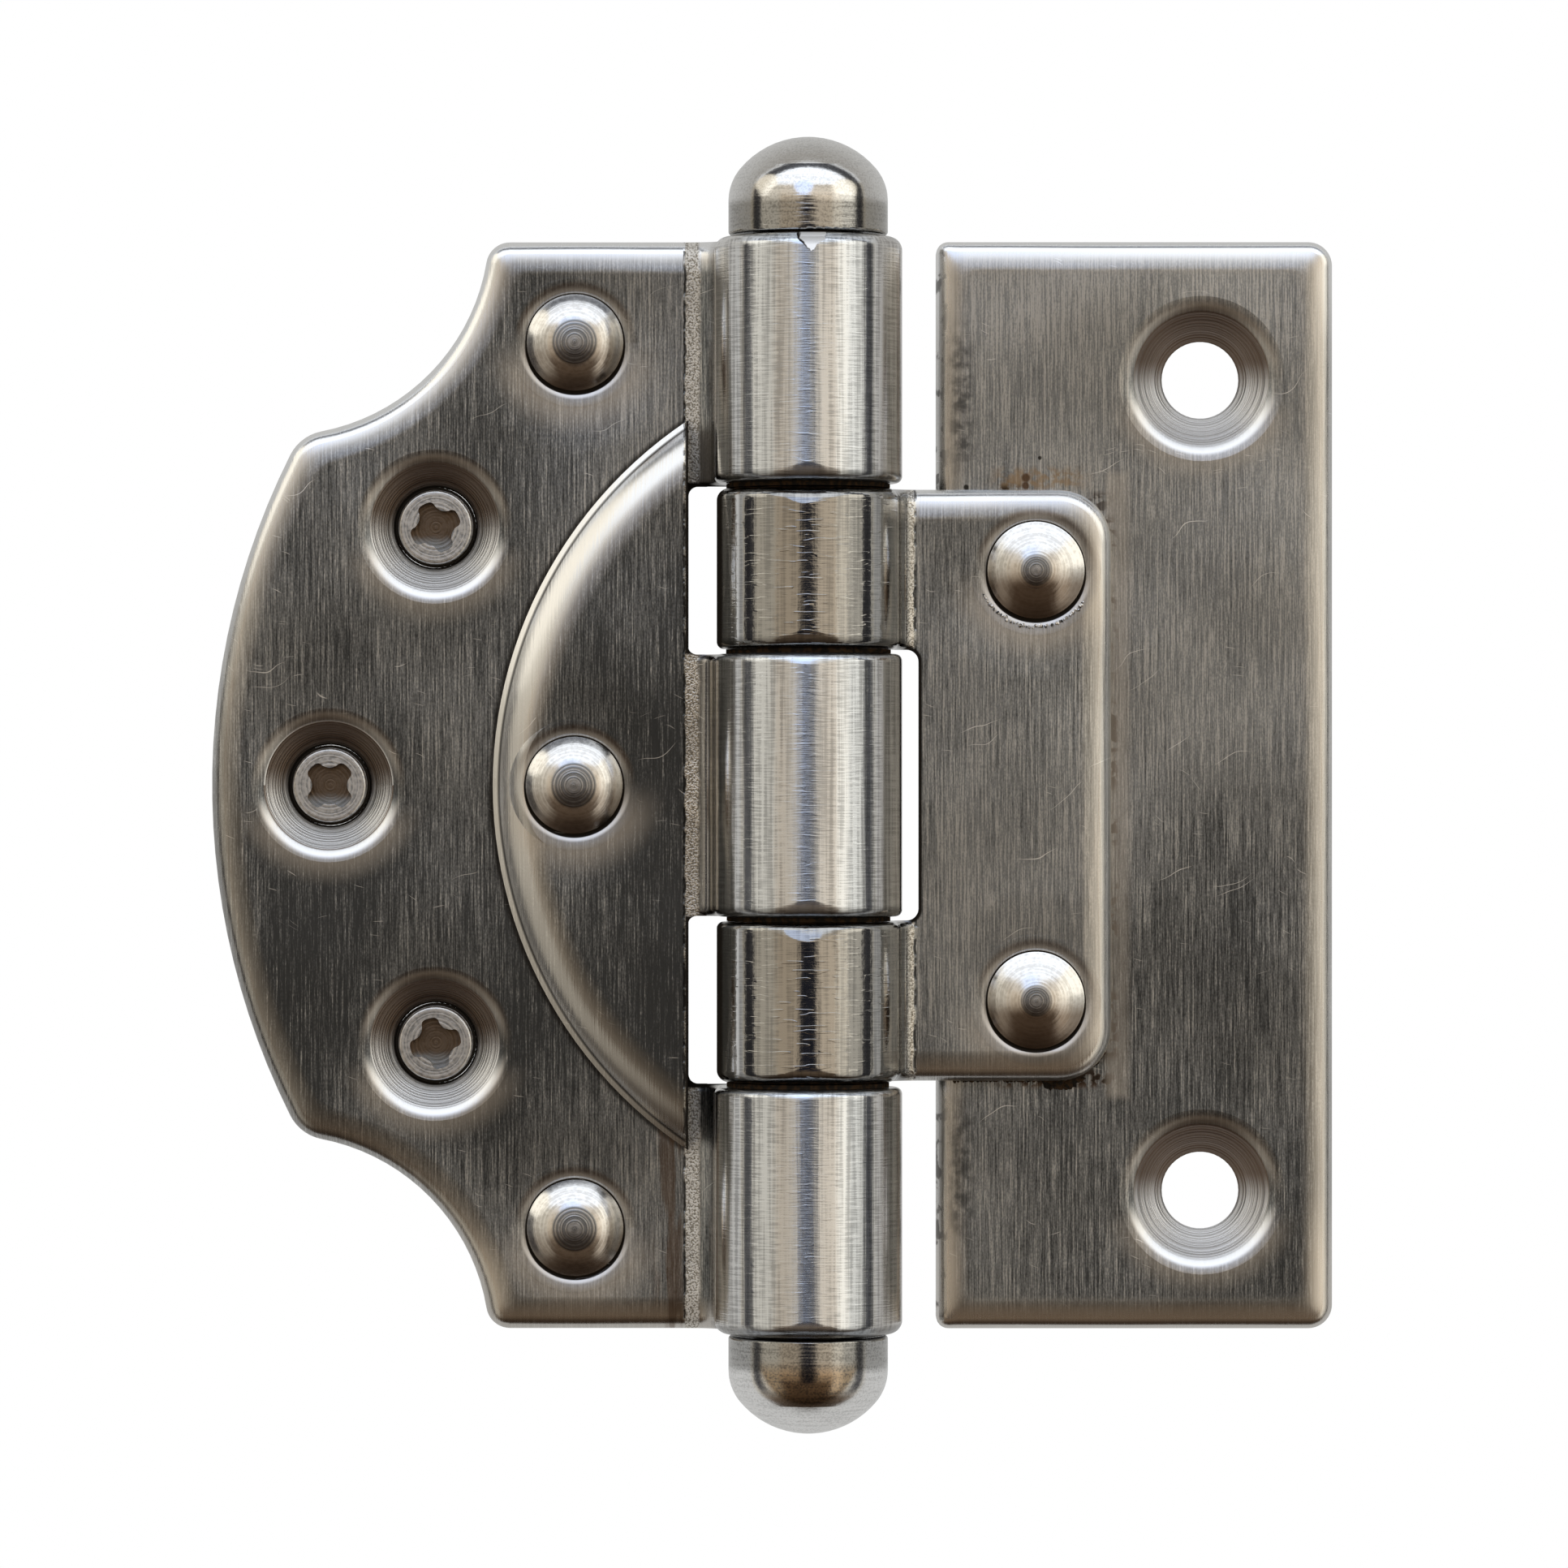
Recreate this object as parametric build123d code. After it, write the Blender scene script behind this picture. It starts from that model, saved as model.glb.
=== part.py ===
from build123d import *
import os
from math import atan2, degrees, sqrt

# A surface-mounted cabinet hinge, laid open flat.
# The shapes are drawn about the pin axis: X runs from the door leaf to the frame leaf, -Y is the front
# and Z runs up the pin. At the end each piece is carried to the frame's origin, the middle of the two
# screw holes on the back of the mounting plate.

# Both leaves
leaf_height = 63.5
base_thickness = 2.2
overlay_thickness = 2.0
strap_thickness = 2.0

# Barrel
knuckle_r = 5.45
strap_knuckle_r = 5.3
middle_knuckle_height = 15.2
strap_knuckle_height = 9.3
knuckle_gap = 0.3
leaf_root_fillet = 1.6
overlay_root_fillet = 1.3
strap_root_fillet = 1.2
knuckle_end_round = 0.4

# Pin and its two domed ends
pin_r = 3.2
pin_running_clearance = 0.05
pin_seat_clearance = 0.02
pin_head_r = 4.62
pin_collar_height = 2.0
pin_dome_height = 3.7
pin_shoulder_r = 2.9
pin_head_lift = 0.12
pin_head_round = 0.2
spigot_r = 2.2
spigot_length = 3.4
spigot_end_gap = 0.2

# Scalloped door leaf
belly_roundness = 0.679
belly_reach = 34.85
scallop_r = 12.1
scallop_beyond_belly = 9.83
scallop_above_edge = 0.83
leaf_tip_round = 2.6
leaf_corner_round = 1.4
leaf_edge_round = 0.75
leaf_notch_from_axis = 7.0
leaf_notch_round = 0.55

# Half-round plate on the door leaf
half_round_r = 25.6
half_round_reach = 18.4
half_round_rim_width = 2.6
half_round_rim_drop = 1.2
half_round_toe_width = 0.35
half_round_toe_height = 0.35
half_round_toe_edge = 0.15

# Knuckle strap on the frame leaf
strap_reach = 17.65
strap_notch_from_axis = 6.45
strap_notch_round = 0.7
strap_corner_round = 3.1
strap_edge_round = 0.7

# Mounting plate and its screw holes
plate_near = 7.5
plate_far = 30.64
plate_near_corner = 0.7
plate_far_corner = 1.4
plate_edge_round = 0.6
screw_hole_r = 2.25
screw_sink_r = 4.29
screw_sink_lip = 1.3
screw_hole_from_far_edge = 7.64
screw_hole_from_end = 8.0

# Rivets
rivet_head_r = 2.82
rivet_rim_height = 0.3
rivet_dome_height = 0.85
rivet_dome_r = 2.9
rivet_nose_r = 1.3
rivet_nose_height = 0.14
rivet_shank_r = 1.6
rivet_fit = 0.02
rivet_dish_depth = 0.22
rivet_dish_width = 0.85
rivet_dish_gap = 0.12
leaf_rivet_from_axis = 13.6
leaf_rivet_from_end = 5.9
strap_rivet_from_edge = 4.4
strap_rivet_from_end = 4.7

# Star-recess grub screws and their countersinks
star_sink_r = 4.05
star_sink_lip = 1.1
star_thread_r = 2.35
star_thread_fit = 0.02
star_nose_r = 2.16
star_nose_height = 0.5
star_nose_round = 0.16
star_below_face = 1.05
star_recess_r = 1.5
star_recess_depth = 0.85
star_lobe_count = 4
star_lobe_round = 0.3
star_bay_r = 0.75
star_bay_from_centre = 1.78
star_side_from_axis = 21.8
star_side_from_end = 16.65
star_centre_from_edge = 6.85
star_turn_upper = 71.0
star_turn_centre = 0.0
star_turn_lower = 60.0

# Places that follow from the sizes
half_height = leaf_height / 2
back_y = knuckle_r
base_front_y = back_y - base_thickness
overlay_front_y = base_front_y - overlay_thickness
strap_front_y = base_front_y - strap_thickness
middle_half = middle_knuckle_height / 2
strap_inner_z = middle_half + knuckle_gap
strap_outer_z = strap_inner_z + strap_knuckle_height
end_knuckle_z = strap_outer_z + knuckle_gap
pin_head_z = half_height + pin_head_lift
belly_r = belly_roundness * leaf_height
belly_x = belly_r - belly_reach
belly_corner_x = belly_x - sqrt(belly_r**2 - half_height**2)
scallop_x = belly_corner_x - scallop_beyond_belly
scallop_z = half_height + scallop_above_edge
screw_hole_x = plate_far - screw_hole_from_far_edge
screw_hole_z = half_height - screw_hole_from_end
leaf_rivet_x = -leaf_rivet_from_axis
leaf_rivet_z = half_height - leaf_rivet_from_end
strap_rivet_x = strap_reach - strap_rivet_from_edge
strap_rivet_z = strap_outer_z - strap_rivet_from_end
star_side_x = -star_side_from_axis
star_side_z = half_height - star_side_from_end
star_centre_x = star_centre_from_edge - belly_reach
fixed_bore_r = pin_r + pin_seat_clearance
running_bore_r = pin_r + pin_running_clearance
touch = 1e-6


def span(x_low, x_high, y_low, y_high):
    """A rectangle between two opposite corners."""
    middle = Pos((x_low + x_high) / 2, (y_low + y_high) / 2)
    return middle * Rectangle(abs(x_high - x_low), abs(y_high - y_low))


def above_and_below(x, y):
    return [(x, y), (x, -y)]


def round_corners(outline, points, radius):
    """Round the corners of an outline that lie at the given points."""
    corners = [outline.vertices().sort_by_distance((x, y, 0))[0] for x, y in points]
    return fillet(corners, radius)


def flat_plate(outline, back, thickness):
    """A plate whose outline faces the front, built forwards from its back plane."""
    return extrude(Plane.XZ.offset(-back) * outline, thickness)


def turned(profile, x, y, z):
    """Turn a profile of radius and height about an axis that points out of the front face at y."""
    return Pos(x, y, z) * Rot(90, 0, 0) * revolve(Plane.XZ * profile, Axis.Z)


def lies_at(edge, height):
    """Whether an edge lies in the level plane at the given height."""
    return all(abs((edge @ t).Z - height) < touch for t in (0, 0.5, 1))


def lies_on_face(edge, face_y):
    """Whether an edge lies in the plane of a front face."""
    return all(abs((edge @ t).Y - face_y) < touch for t in (0, 0.5, 1))


def outer_arcs(piece, height, bore_r):
    """The arcs of a knuckle's outer edge, barrel and root, at one of its ends."""
    arcs = piece.edges().filter_by(GeomType.CIRCLE)
    return [arc for arc in arcs if lies_at(arc, height) and abs(arc.radius - bore_r) > touch]


def knuckle(outer_r, bore_r, side, flat, root_fillets, z_low, z_high, reach, rounded_ends):
    """A rolled knuckle: the barrel, its bore and the stretch of plate that runs into it.

    side is -1 on the door leaf and 1 on the frame leaf. flat holds the plate's front and back planes.
    root_fillets holds the hollow radius on each of them, None where the plate leaves the barrel along a
    tangent.
    """
    section = Circle(outer_r) + span(0, side * reach, *flat)
    for plane_y, root_fillet in zip(flat, root_fillets):
        if root_fillet:
            root_x = side * sqrt(outer_r**2 - plane_y**2)
            section = round_corners(section, [(root_x, plane_y)], root_fillet)
    section -= Circle(bore_r)
    barrel = Pos(0, 0, z_low) * extrude(section, z_high - z_low)
    for height in rounded_ends:
        barrel = fillet(outer_arcs(barrel, height, bore_r), knuckle_end_round)
    return barrel


def rivet_hole(x, z, face_y, dished):
    """The hole for a rivet's shank, with the shallow dish that the riveting leaves round its head."""
    hole_r = rivet_shank_r + rivet_fit
    hole = Polyline((0, face_y - back_y), (hole_r, face_y - back_y), (hole_r, 0), (0, 0), close=True)
    cutter = turned(make_face(hole), x, face_y, z)
    if dished:
        floor_r = rivet_head_r + rivet_dish_gap
        mouth_r = floor_r + rivet_dish_width
        floor = -rivet_dish_depth
        dish = Polyline((0, floor), (floor_r, floor), (mouth_r, 0), (0, 0), close=True)
        cutter += turned(make_face(dish), x, face_y, z)
    return cutter


def rivet(x, z, face_y):
    """A rivet with a low domed head, a flatter nose and a shank that ends flush with the leaf's back."""
    seat = -rivet_dish_depth
    rim_top = seat + rivet_rim_height
    nose_base = rim_top + rivet_dome_height
    nose_tip = nose_base + rivet_nose_height
    shank_end = face_y - back_y
    outline = Polyline(
        (rivet_nose_r, nose_base),
        (0, nose_tip),
        (0, shank_end),
        (rivet_shank_r, shank_end),
        (rivet_shank_r, seat),
        (rivet_head_r, seat),
        (rivet_head_r, rim_top),
    )
    dome = RadiusArc((rivet_head_r, rim_top), (rivet_nose_r, nose_base), -rivet_dome_r)
    return turned(make_face(outline.edges() + dome.edges()), x, face_y, z)


def sunk_hole(plate, x, z, face_y, bore_r, sink_r, lip):
    """Drill and countersink a plate, and round the lip of the countersink over."""
    back = face_y - back_y
    sink_floor = bore_r - sink_r
    profile = Polyline((0, back), (bore_r, back), (bore_r, sink_floor), (sink_r, 0), (0, 0), close=True)
    plate -= turned(make_face(profile), x, face_y, z)
    mouth_centre = Vector(x, face_y, z)
    rings = plate.edges().filter_by(GeomType.CIRCLE)
    mouth = [ring for ring in rings if (ring.arc_center - mouth_centre).length < touch]
    return fillet(mouth, lip)


def star_screw(x, z, turn):
    """A grub screw with a star recess, its nose turned down and its end flush with the leaf's back."""
    top = -star_below_face
    end = -base_thickness
    shoulder = top - star_nose_height
    profile = Polyline(
        (0, end),
        (star_thread_r, end),
        (star_thread_r, shoulder),
        (star_nose_r, shoulder),
        (star_nose_r, top),
        (0, top),
        close=True,
    )
    profile = round_corners(make_face(profile), [(star_nose_r, top)], star_nose_round)
    star = Circle(star_recess_r)
    for bay in PolarLocations(star_bay_from_centre, star_lobe_count):
        star -= bay * Circle(star_bay_r)
    star = fillet(star.vertices(), star_lobe_round)
    recess = extrude(Plane.XZ.offset(-base_front_y + top) * Rot(0, 0, turn) * star, -star_recess_depth)
    return turned(profile, x, base_front_y, z) - Pos(x, 0, z) * recess


def make_scalloped_leaf():
    """The door leaf: a bellied plate with scalloped corners and a knuckle rolled at each end."""
    belly = Pos(belly_x, 0) * Circle(belly_r)
    outline = belly & span(-belly_reach, -leaf_notch_from_axis, -half_height, half_height)
    tab_x = 2 * leaf_notch_round - leaf_notch_from_axis
    for end in (1, -1):
        outline -= Pos(scallop_x, end * scallop_z) * Circle(scallop_r)
        outline += span(-leaf_notch_from_axis, tab_x, end * end_knuckle_z, end * half_height)
    notch_corners = above_and_below(-leaf_notch_from_axis, end_knuckle_z)
    outline = round_corners(outline, notch_corners, leaf_notch_round)
    corner_x = scallop_x + sqrt(scallop_r**2 - scallop_above_edge**2)
    tips = outline.vertices().filter_by(lambda vertex: vertex.X < corner_x - touch)
    outline = fillet(tips, leaf_tip_round)
    outline = round_corners(outline, above_and_below(corner_x, half_height), leaf_corner_round)

    leaf = flat_plate(outline, back_y, base_thickness)
    flat = (base_front_y, back_y)
    root_fillets = (leaf_root_fillet, None)
    reach = leaf_notch_from_axis + leaf_notch_round
    for end in (1, -1):
        inner = end * end_knuckle_z
        low, high = sorted((inner, end * half_height))
        leaf += knuckle(knuckle_r, fixed_bore_r, -1, flat, root_fillets, low, high, reach, [inner])

    rim = [edge for edge in leaf.edges() if lies_on_face(edge, base_front_y)]
    rim = [edge for edge in rim if edge.center().X < -leaf_notch_from_axis - touch]
    for end in (1, -1):
        rim += outer_arcs(leaf, end * half_height, fixed_bore_r)
    leaf = fillet(rim, leaf_edge_round)

    for z in (leaf_rivet_z, -leaf_rivet_z):
        leaf -= rivet_hole(leaf_rivet_x, z, base_front_y, dished=True)
    leaf -= rivet_hole(leaf_rivet_x, 0, base_front_y, dished=False)
    bore_r = star_thread_r + star_thread_fit
    for x, z in above_and_below(star_side_x, star_side_z) + [(star_centre_x, 0)]:
        leaf = sunk_hole(leaf, x, z, base_front_y, bore_r, star_sink_r, star_sink_lip)
    return leaf


def cushioned_disc():
    """The full disc that the half-round plate is cut from: a flat top, a cushioned rim and a thin toe."""
    rim_r = half_round_r - half_round_toe_width
    flat_r = rim_r - half_round_rim_width
    rim_low = overlay_thickness - half_round_rim_drop
    cushion_r = (half_round_rim_width**2 + half_round_rim_drop**2) / (2 * half_round_rim_drop)
    section = Polyline(
        (flat_r, overlay_thickness),
        (0, overlay_thickness),
        (0, 0),
        (half_round_r, 0),
        (half_round_r, half_round_toe_edge),
        (rim_r, half_round_toe_height),
        (rim_r, rim_low),
    )
    cushion = RadiusArc((rim_r, rim_low), (flat_r, overlay_thickness), -cushion_r)
    section = make_face(section.edges() + cushion.edges())
    return turned(section, half_round_r - half_round_reach, base_front_y, 0)


def make_half_round_plate():
    """The raised half-round plate that carries the middle knuckle."""
    outline = span(-half_round_reach, -leaf_notch_from_axis, -half_round_r, half_round_r)
    tab_x = 2 * leaf_notch_round - leaf_notch_from_axis
    outline += span(-leaf_notch_from_axis, tab_x, -middle_half, middle_half)
    notch_corners = above_and_below(-leaf_notch_from_axis, middle_half)
    outline = round_corners(outline, notch_corners, leaf_notch_round)

    plate = flat_plate(outline, base_front_y, overlay_thickness) & cushioned_disc()
    ends = (-middle_half, middle_half)
    flat = (overlay_front_y, base_front_y)
    root_fillets = (overlay_root_fillet, overlay_root_fillet)
    reach = leaf_notch_from_axis + leaf_notch_round
    plate += knuckle(knuckle_r, fixed_bore_r, -1, flat, root_fillets, *ends, reach, ends)
    plate -= rivet_hole(leaf_rivet_x, 0, overlay_front_y, dished=True)
    return plate


def make_mounting_plate():
    """The frame leaf: an oblong plate with two countersunk screw holes."""
    outline = span(plate_near, plate_far, -half_height, half_height)
    outline = round_corners(outline, above_and_below(plate_near, half_height), plate_near_corner)
    outline = round_corners(outline, above_and_below(plate_far, half_height), plate_far_corner)
    plate = flat_plate(outline, back_y, base_thickness)
    plate = fillet([edge for edge in plate.edges() if lies_on_face(edge, base_front_y)], plate_edge_round)
    for x, z in above_and_below(screw_hole_x, screw_hole_z):
        plate = sunk_hole(plate, x, z, base_front_y, screw_hole_r, screw_sink_r, screw_sink_lip)
    for x, z in above_and_below(strap_rivet_x, strap_rivet_z):
        plate -= rivet_hole(x, z, base_front_y, dished=False)
    return plate


def make_knuckle_strap():
    """The strap on the frame leaf, with a knuckle on each side of the middle one."""
    outline = span(strap_notch_from_axis, strap_reach, -strap_outer_z, strap_outer_z)
    tab_x = strap_notch_from_axis - 2 * strap_notch_round
    for end in (1, -1):
        outline += span(tab_x, strap_notch_from_axis, end * strap_inner_z, end * strap_outer_z)
    notch_corners = above_and_below(strap_notch_from_axis, strap_inner_z)
    outline = round_corners(outline, notch_corners, strap_notch_round)
    outline = round_corners(outline, above_and_below(strap_reach, strap_outer_z), strap_corner_round)

    strap = flat_plate(outline, base_front_y, strap_thickness)
    flat = (strap_front_y, base_front_y)
    root_fillets = (strap_root_fillet, strap_root_fillet)
    reach = strap_notch_from_axis + strap_notch_round
    for end in (1, -1):
        inner = end * strap_inner_z
        low, high = sorted((inner, end * strap_outer_z))
        strap += knuckle(strap_knuckle_r, running_bore_r, 1, flat, root_fillets, low, high, reach, [inner])

    rim = [edge for edge in strap.edges() if lies_on_face(edge, strap_front_y)]
    rim = [edge for edge in rim if edge.center().X > strap_notch_from_axis + strap_notch_round]
    for end in (1, -1):
        rim += outer_arcs(strap, end * strap_outer_z, running_bore_r)
    strap = fillet(rim, strap_edge_round)
    for x, z in above_and_below(strap_rivet_x, strap_rivet_z):
        strap -= rivet_hole(x, z, strap_front_y, dished=True)
    return strap


def domed_turning(inside):
    """Turn a piece that ends in a pin's domed head, from the outline that lies inside the dome."""
    collar = Line((pin_head_r, 0), (pin_head_r, pin_collar_height))
    shoulder_x = pin_head_r - pin_shoulder_r
    crown_rise = pin_dome_height - pin_shoulder_r
    crown_r = (shoulder_x**2 + pin_dome_height**2 - pin_shoulder_r**2) / (2 * crown_rise)
    turn = degrees(atan2(crown_r - pin_dome_height, shoulder_x))
    shoulder = JernArc(collar @ 1, (0, 1), pin_shoulder_r, turn)
    crown = JernArc(shoulder @ 1, shoulder % 1, crown_r, 90 - turn)
    profile = make_face(inside.edges() + collar.edges() + shoulder.edges() + crown.edges())
    piece = revolve(Plane.XZ * profile, Axis.Z)
    rings = piece.edges().filter_by(GeomType.CIRCLE)
    rim = [ring for ring in rings if lies_at(ring, 0) and abs(ring.radius - pin_head_r) < touch]
    return fillet(rim, pin_head_round)


def make_hinge_pin():
    """The pin, with its upper domed head and the spigot for the cap at its lower end."""
    shoulder = -2 * pin_head_z
    shaft = Polyline(
        (0, pin_collar_height + pin_dome_height),
        (0, shoulder - spigot_length),
        (spigot_r, shoulder - spigot_length),
        (spigot_r, shoulder),
        (pin_r, shoulder),
        (pin_r, 0),
        (pin_head_r, 0),
    )
    return Pos(0, 0, pin_head_z) * domed_turning(shaft)


def make_lower_pin_cap():
    """The domed cap that closes the pin's lower end."""
    socket_r = spigot_r + pin_seat_clearance
    socket_depth = spigot_length + spigot_end_gap
    socket = Polyline(
        (0, pin_collar_height + pin_dome_height),
        (0, socket_depth),
        (socket_r, socket_depth),
        (socket_r, 0),
        (pin_head_r, 0),
    )
    return Pos(0, 0, -pin_head_z) * Rot(180, 0, 0) * domed_turning(socket)


pieces = {
    "scalloped_leaf": make_scalloped_leaf(),
    "half_round_plate": make_half_round_plate(),
    "mounting_plate": make_mounting_plate(),
    "knuckle_strap": make_knuckle_strap(),
    "hinge_pin": make_hinge_pin(),
    "lower_pin_cap": make_lower_pin_cap(),
    "leaf_rivet_upper": rivet(leaf_rivet_x, leaf_rivet_z, base_front_y),
    "leaf_rivet_centre": rivet(leaf_rivet_x, 0, overlay_front_y),
    "leaf_rivet_lower": rivet(leaf_rivet_x, -leaf_rivet_z, base_front_y),
    "strap_rivet_upper": rivet(strap_rivet_x, strap_rivet_z, strap_front_y),
    "strap_rivet_lower": rivet(strap_rivet_x, -strap_rivet_z, strap_front_y),
    "star_screw_upper": star_screw(star_side_x, star_side_z, star_turn_upper),
    "star_screw_centre": star_screw(star_centre_x, 0, star_turn_centre),
    "star_screw_lower": star_screw(star_side_x, -star_side_z, star_turn_lower),
}

os.makedirs("parts", exist_ok=True)
to_frame_origin = Pos(-screw_hole_x, -back_y, 0)
for node, piece in pieces.items():
    export_step(to_frame_origin * piece, f"parts/{node}.step")
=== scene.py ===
# %% [markdown]
# # A cabinet hinge in brushed steel
# This lesson dresses a surface-mounted cabinet hinge: two leaves, a barrel of rolled knuckles, a pin with
# domed ends, rivets and sunk screws. The parts arrive from CAD at their true size, so the lesson is about
# finish: grain, polish, wear, and the studio that a metal object shows in its surface.

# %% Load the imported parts
import math

import bmesh
import bpy
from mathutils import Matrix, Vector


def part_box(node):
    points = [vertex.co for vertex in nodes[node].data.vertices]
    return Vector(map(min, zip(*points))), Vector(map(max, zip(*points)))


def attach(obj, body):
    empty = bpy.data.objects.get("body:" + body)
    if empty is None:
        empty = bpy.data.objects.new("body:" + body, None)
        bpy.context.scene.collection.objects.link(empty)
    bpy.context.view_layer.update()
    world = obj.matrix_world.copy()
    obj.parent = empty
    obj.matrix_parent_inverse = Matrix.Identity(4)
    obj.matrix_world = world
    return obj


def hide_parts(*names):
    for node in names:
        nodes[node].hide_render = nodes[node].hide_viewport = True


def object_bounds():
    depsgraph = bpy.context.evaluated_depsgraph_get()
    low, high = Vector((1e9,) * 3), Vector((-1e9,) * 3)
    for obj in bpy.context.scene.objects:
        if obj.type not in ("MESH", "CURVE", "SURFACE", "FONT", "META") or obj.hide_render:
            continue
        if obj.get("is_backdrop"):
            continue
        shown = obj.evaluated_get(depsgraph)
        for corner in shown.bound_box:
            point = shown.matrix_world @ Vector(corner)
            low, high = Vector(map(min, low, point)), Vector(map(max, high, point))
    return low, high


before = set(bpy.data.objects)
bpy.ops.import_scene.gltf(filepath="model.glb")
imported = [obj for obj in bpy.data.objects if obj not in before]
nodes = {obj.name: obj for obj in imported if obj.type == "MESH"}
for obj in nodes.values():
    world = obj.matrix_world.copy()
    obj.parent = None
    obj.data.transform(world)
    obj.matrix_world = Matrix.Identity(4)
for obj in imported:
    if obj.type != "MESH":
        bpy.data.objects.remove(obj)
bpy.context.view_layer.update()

# %% [markdown]
# ## Where things are
# Every finish on this hinge follows its shape: wear and painted highlights lie along the edges, dirt and
# painted shade sit in seams and the turning rings run round the rivets. So the sizes that the finishes
# need are written down once, in millimetres from the pin's axis, and the axis itself is read from the
# pin's own box.

# %% Measures in millimetres from the pin axis
pin_low, pin_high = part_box("hinge_pin")
axis_x = (pin_low.x + pin_high.x) / 2
axis_y = (pin_low.y + pin_high.y) / 2
half_height = 1000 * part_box("mounting_plate")[1].z
back_face = 5.45
belly_r = 43.12
belly_x = 8.27
scallop_r = 12.1
scallop_x = -30.73
scallop_z = 32.58
half_round_r = 25.6
half_round_x = 7.2
plate_near = 7.5
plate_far = 30.64
strap_far = 17.65
strap_half = 17.2
strap_corner = 3.1
end_knuckle_z = 17.5
middle_half = 7.6
knuckle_gap = 0.3
leaf_rivets = [(-13.6, 25.85), (-13.6, 0.0)]
strap_rivet = (13.25, 12.5)
star_screws = [(-21.8, 15.1, 3.8), (-28.0, 0.0, 3.8)]
screw_hole = (23.0, 23.75, 3.98)
base_face = 3.25
raised_face = 1.25
leaf_root = 7.18
strap_root = 6.21
axis_mm = [round(1000 * along, 2) for along in (axis_x, axis_y)]
print("pin axis in mm:", axis_mm, "half height:", round(half_height, 2))

# %% [markdown]
# ## Shader maths in plain Python
# Node trees for worn metal hold a lot of arithmetic. A small class wraps a socket, so that an expression
# such as `1 - mask` adds its own Math node. One method adds any other node.

# %% A socket that takes part in arithmetic


class Wire:
    """An output socket that can stand in a Python expression."""

    def __init__(self, bench, socket):
        self.bench = bench
        self.socket = socket

    def __add__(self, other):
        return self.bench.math("ADD", self, other)

    def __sub__(self, other):
        return self.bench.math("SUBTRACT", self, other)

    def __rsub__(self, other):
        return self.bench.math("SUBTRACT", other, self)

    def __mul__(self, other):
        return self.bench.math("MULTIPLY", self, other)

    def __truediv__(self, other):
        return self.bench.math("DIVIDE", self, other)

    def __pow__(self, other):
        return self.bench.math("POWER", self, other)

    def __neg__(self):
        return self.bench.math("MULTIPLY", self, -1.0)

    def __abs__(self):
        return self.bench.math("ABSOLUTE", self)

    __radd__ = __add__
    __rmul__ = __mul__


class Bench:
    """A node tree and the few ways in which this lesson adds to it."""

    def __init__(self, tree):
        self.tree = tree
        tree.nodes.clear()

    def add(self, kind, settings=None, inputs=None, out=0):
        node = self.tree.nodes.new(kind)
        for name, value in (settings or {}).items():
            setattr(node, name, value)
        for name, value in (inputs or {}).items():
            self.feed(node.inputs[name], value)
        return Wire(self, node.outputs[out]) if node.outputs else node

    def feed(self, socket, value):
        if isinstance(value, Wire):
            self.tree.links.new(value.socket, socket)
        elif isinstance(value, tuple) and len(value) == 3 and socket.type == "RGBA":
            socket.default_value = (*value, 1.0)
        else:
            socket.default_value = value

    def math(self, operation, *values):
        return self.add("ShaderNodeMath", {"operation": operation}, dict(enumerate(values)))

    def ramp(self, value, low, high):
        """0 up to low, 1 from high on, and a smooth rise between them."""
        limits = {"Value": value, "From Min": low, "From Max": high}
        return self.add("ShaderNodeMapRange", {"interpolation_type": "SMOOTHSTEP"}, limits)

    def share(self, value, low, high):
        """0 up to low, 1 from high on, and a straight rise between them."""
        return self.add("ShaderNodeMapRange", None, {"Value": value, "From Min": low, "From Max": high})

    def mix(self, a, b, factor):
        """Colour a where the factor is 0 and colour b where it is 1."""
        settings = {"data_type": "RGBA", "clamp_factor": True}
        return self.add("ShaderNodeMix", settings, {0: factor, 6: a, 7: b}, out=2)

    def vector(self, x, y, z=0.0):
        return self.add("ShaderNodeCombineXYZ", None, {"X": x, "Y": y, "Z": z})

    def noise(self, x, y, detail=2.0, z=None):
        place = self.vector(x, y) if z is None else self.vector(x, y, z)
        settings = {"noise_dimensions": "2D" if z is None else "3D"}
        return self.add("ShaderNodeTexNoise", settings, {"Vector": place, "Scale": 1.0, "Detail": detail})

    def length(self, a, b):
        return (a * a + b * b) ** 0.5


print("shader helpers ready")

# %% [markdown]
# ## The studio
# Steel has hardly any colour of its own: it shows the room. The room here is a pale tent above, warm
# walls at the sides, a brown table below and the dark place where the camera stands. Three soft round
# lamps, a bright strip on the right and a dark slot far out at the sides give the barrel its upright
# bands. Lamps that hang in the scene could do this too, but a world that is mixed by direction is one
# tree, and each band can be set in degrees. The camera itself sees plain white behind the hinge.

# %% World light by direction
world = bpy.data.worlds.new("studio")
bpy.context.scene.world = world
world.use_nodes = True
room = Bench(world.node_tree)
direction = room.add("ShaderNodeTexCoord", out=0)
parts = room.add("ShaderNodeSeparateXYZ", None, {0: direction})
towards_x, towards_y, towards_z = (Wire(room, parts.socket.node.outputs[i]) for i in range(3))
to_degrees = 180 / math.pi
azimuth = room.math("ARCTAN2", towards_x, -towards_y) * to_degrees
elevation = room.math("ARCSINE", towards_z) * to_degrees
off_front = room.math("ARCCOSINE", -towards_y) * to_degrees
right = room.ramp(azimuth, -4.0, 4.0)

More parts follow.
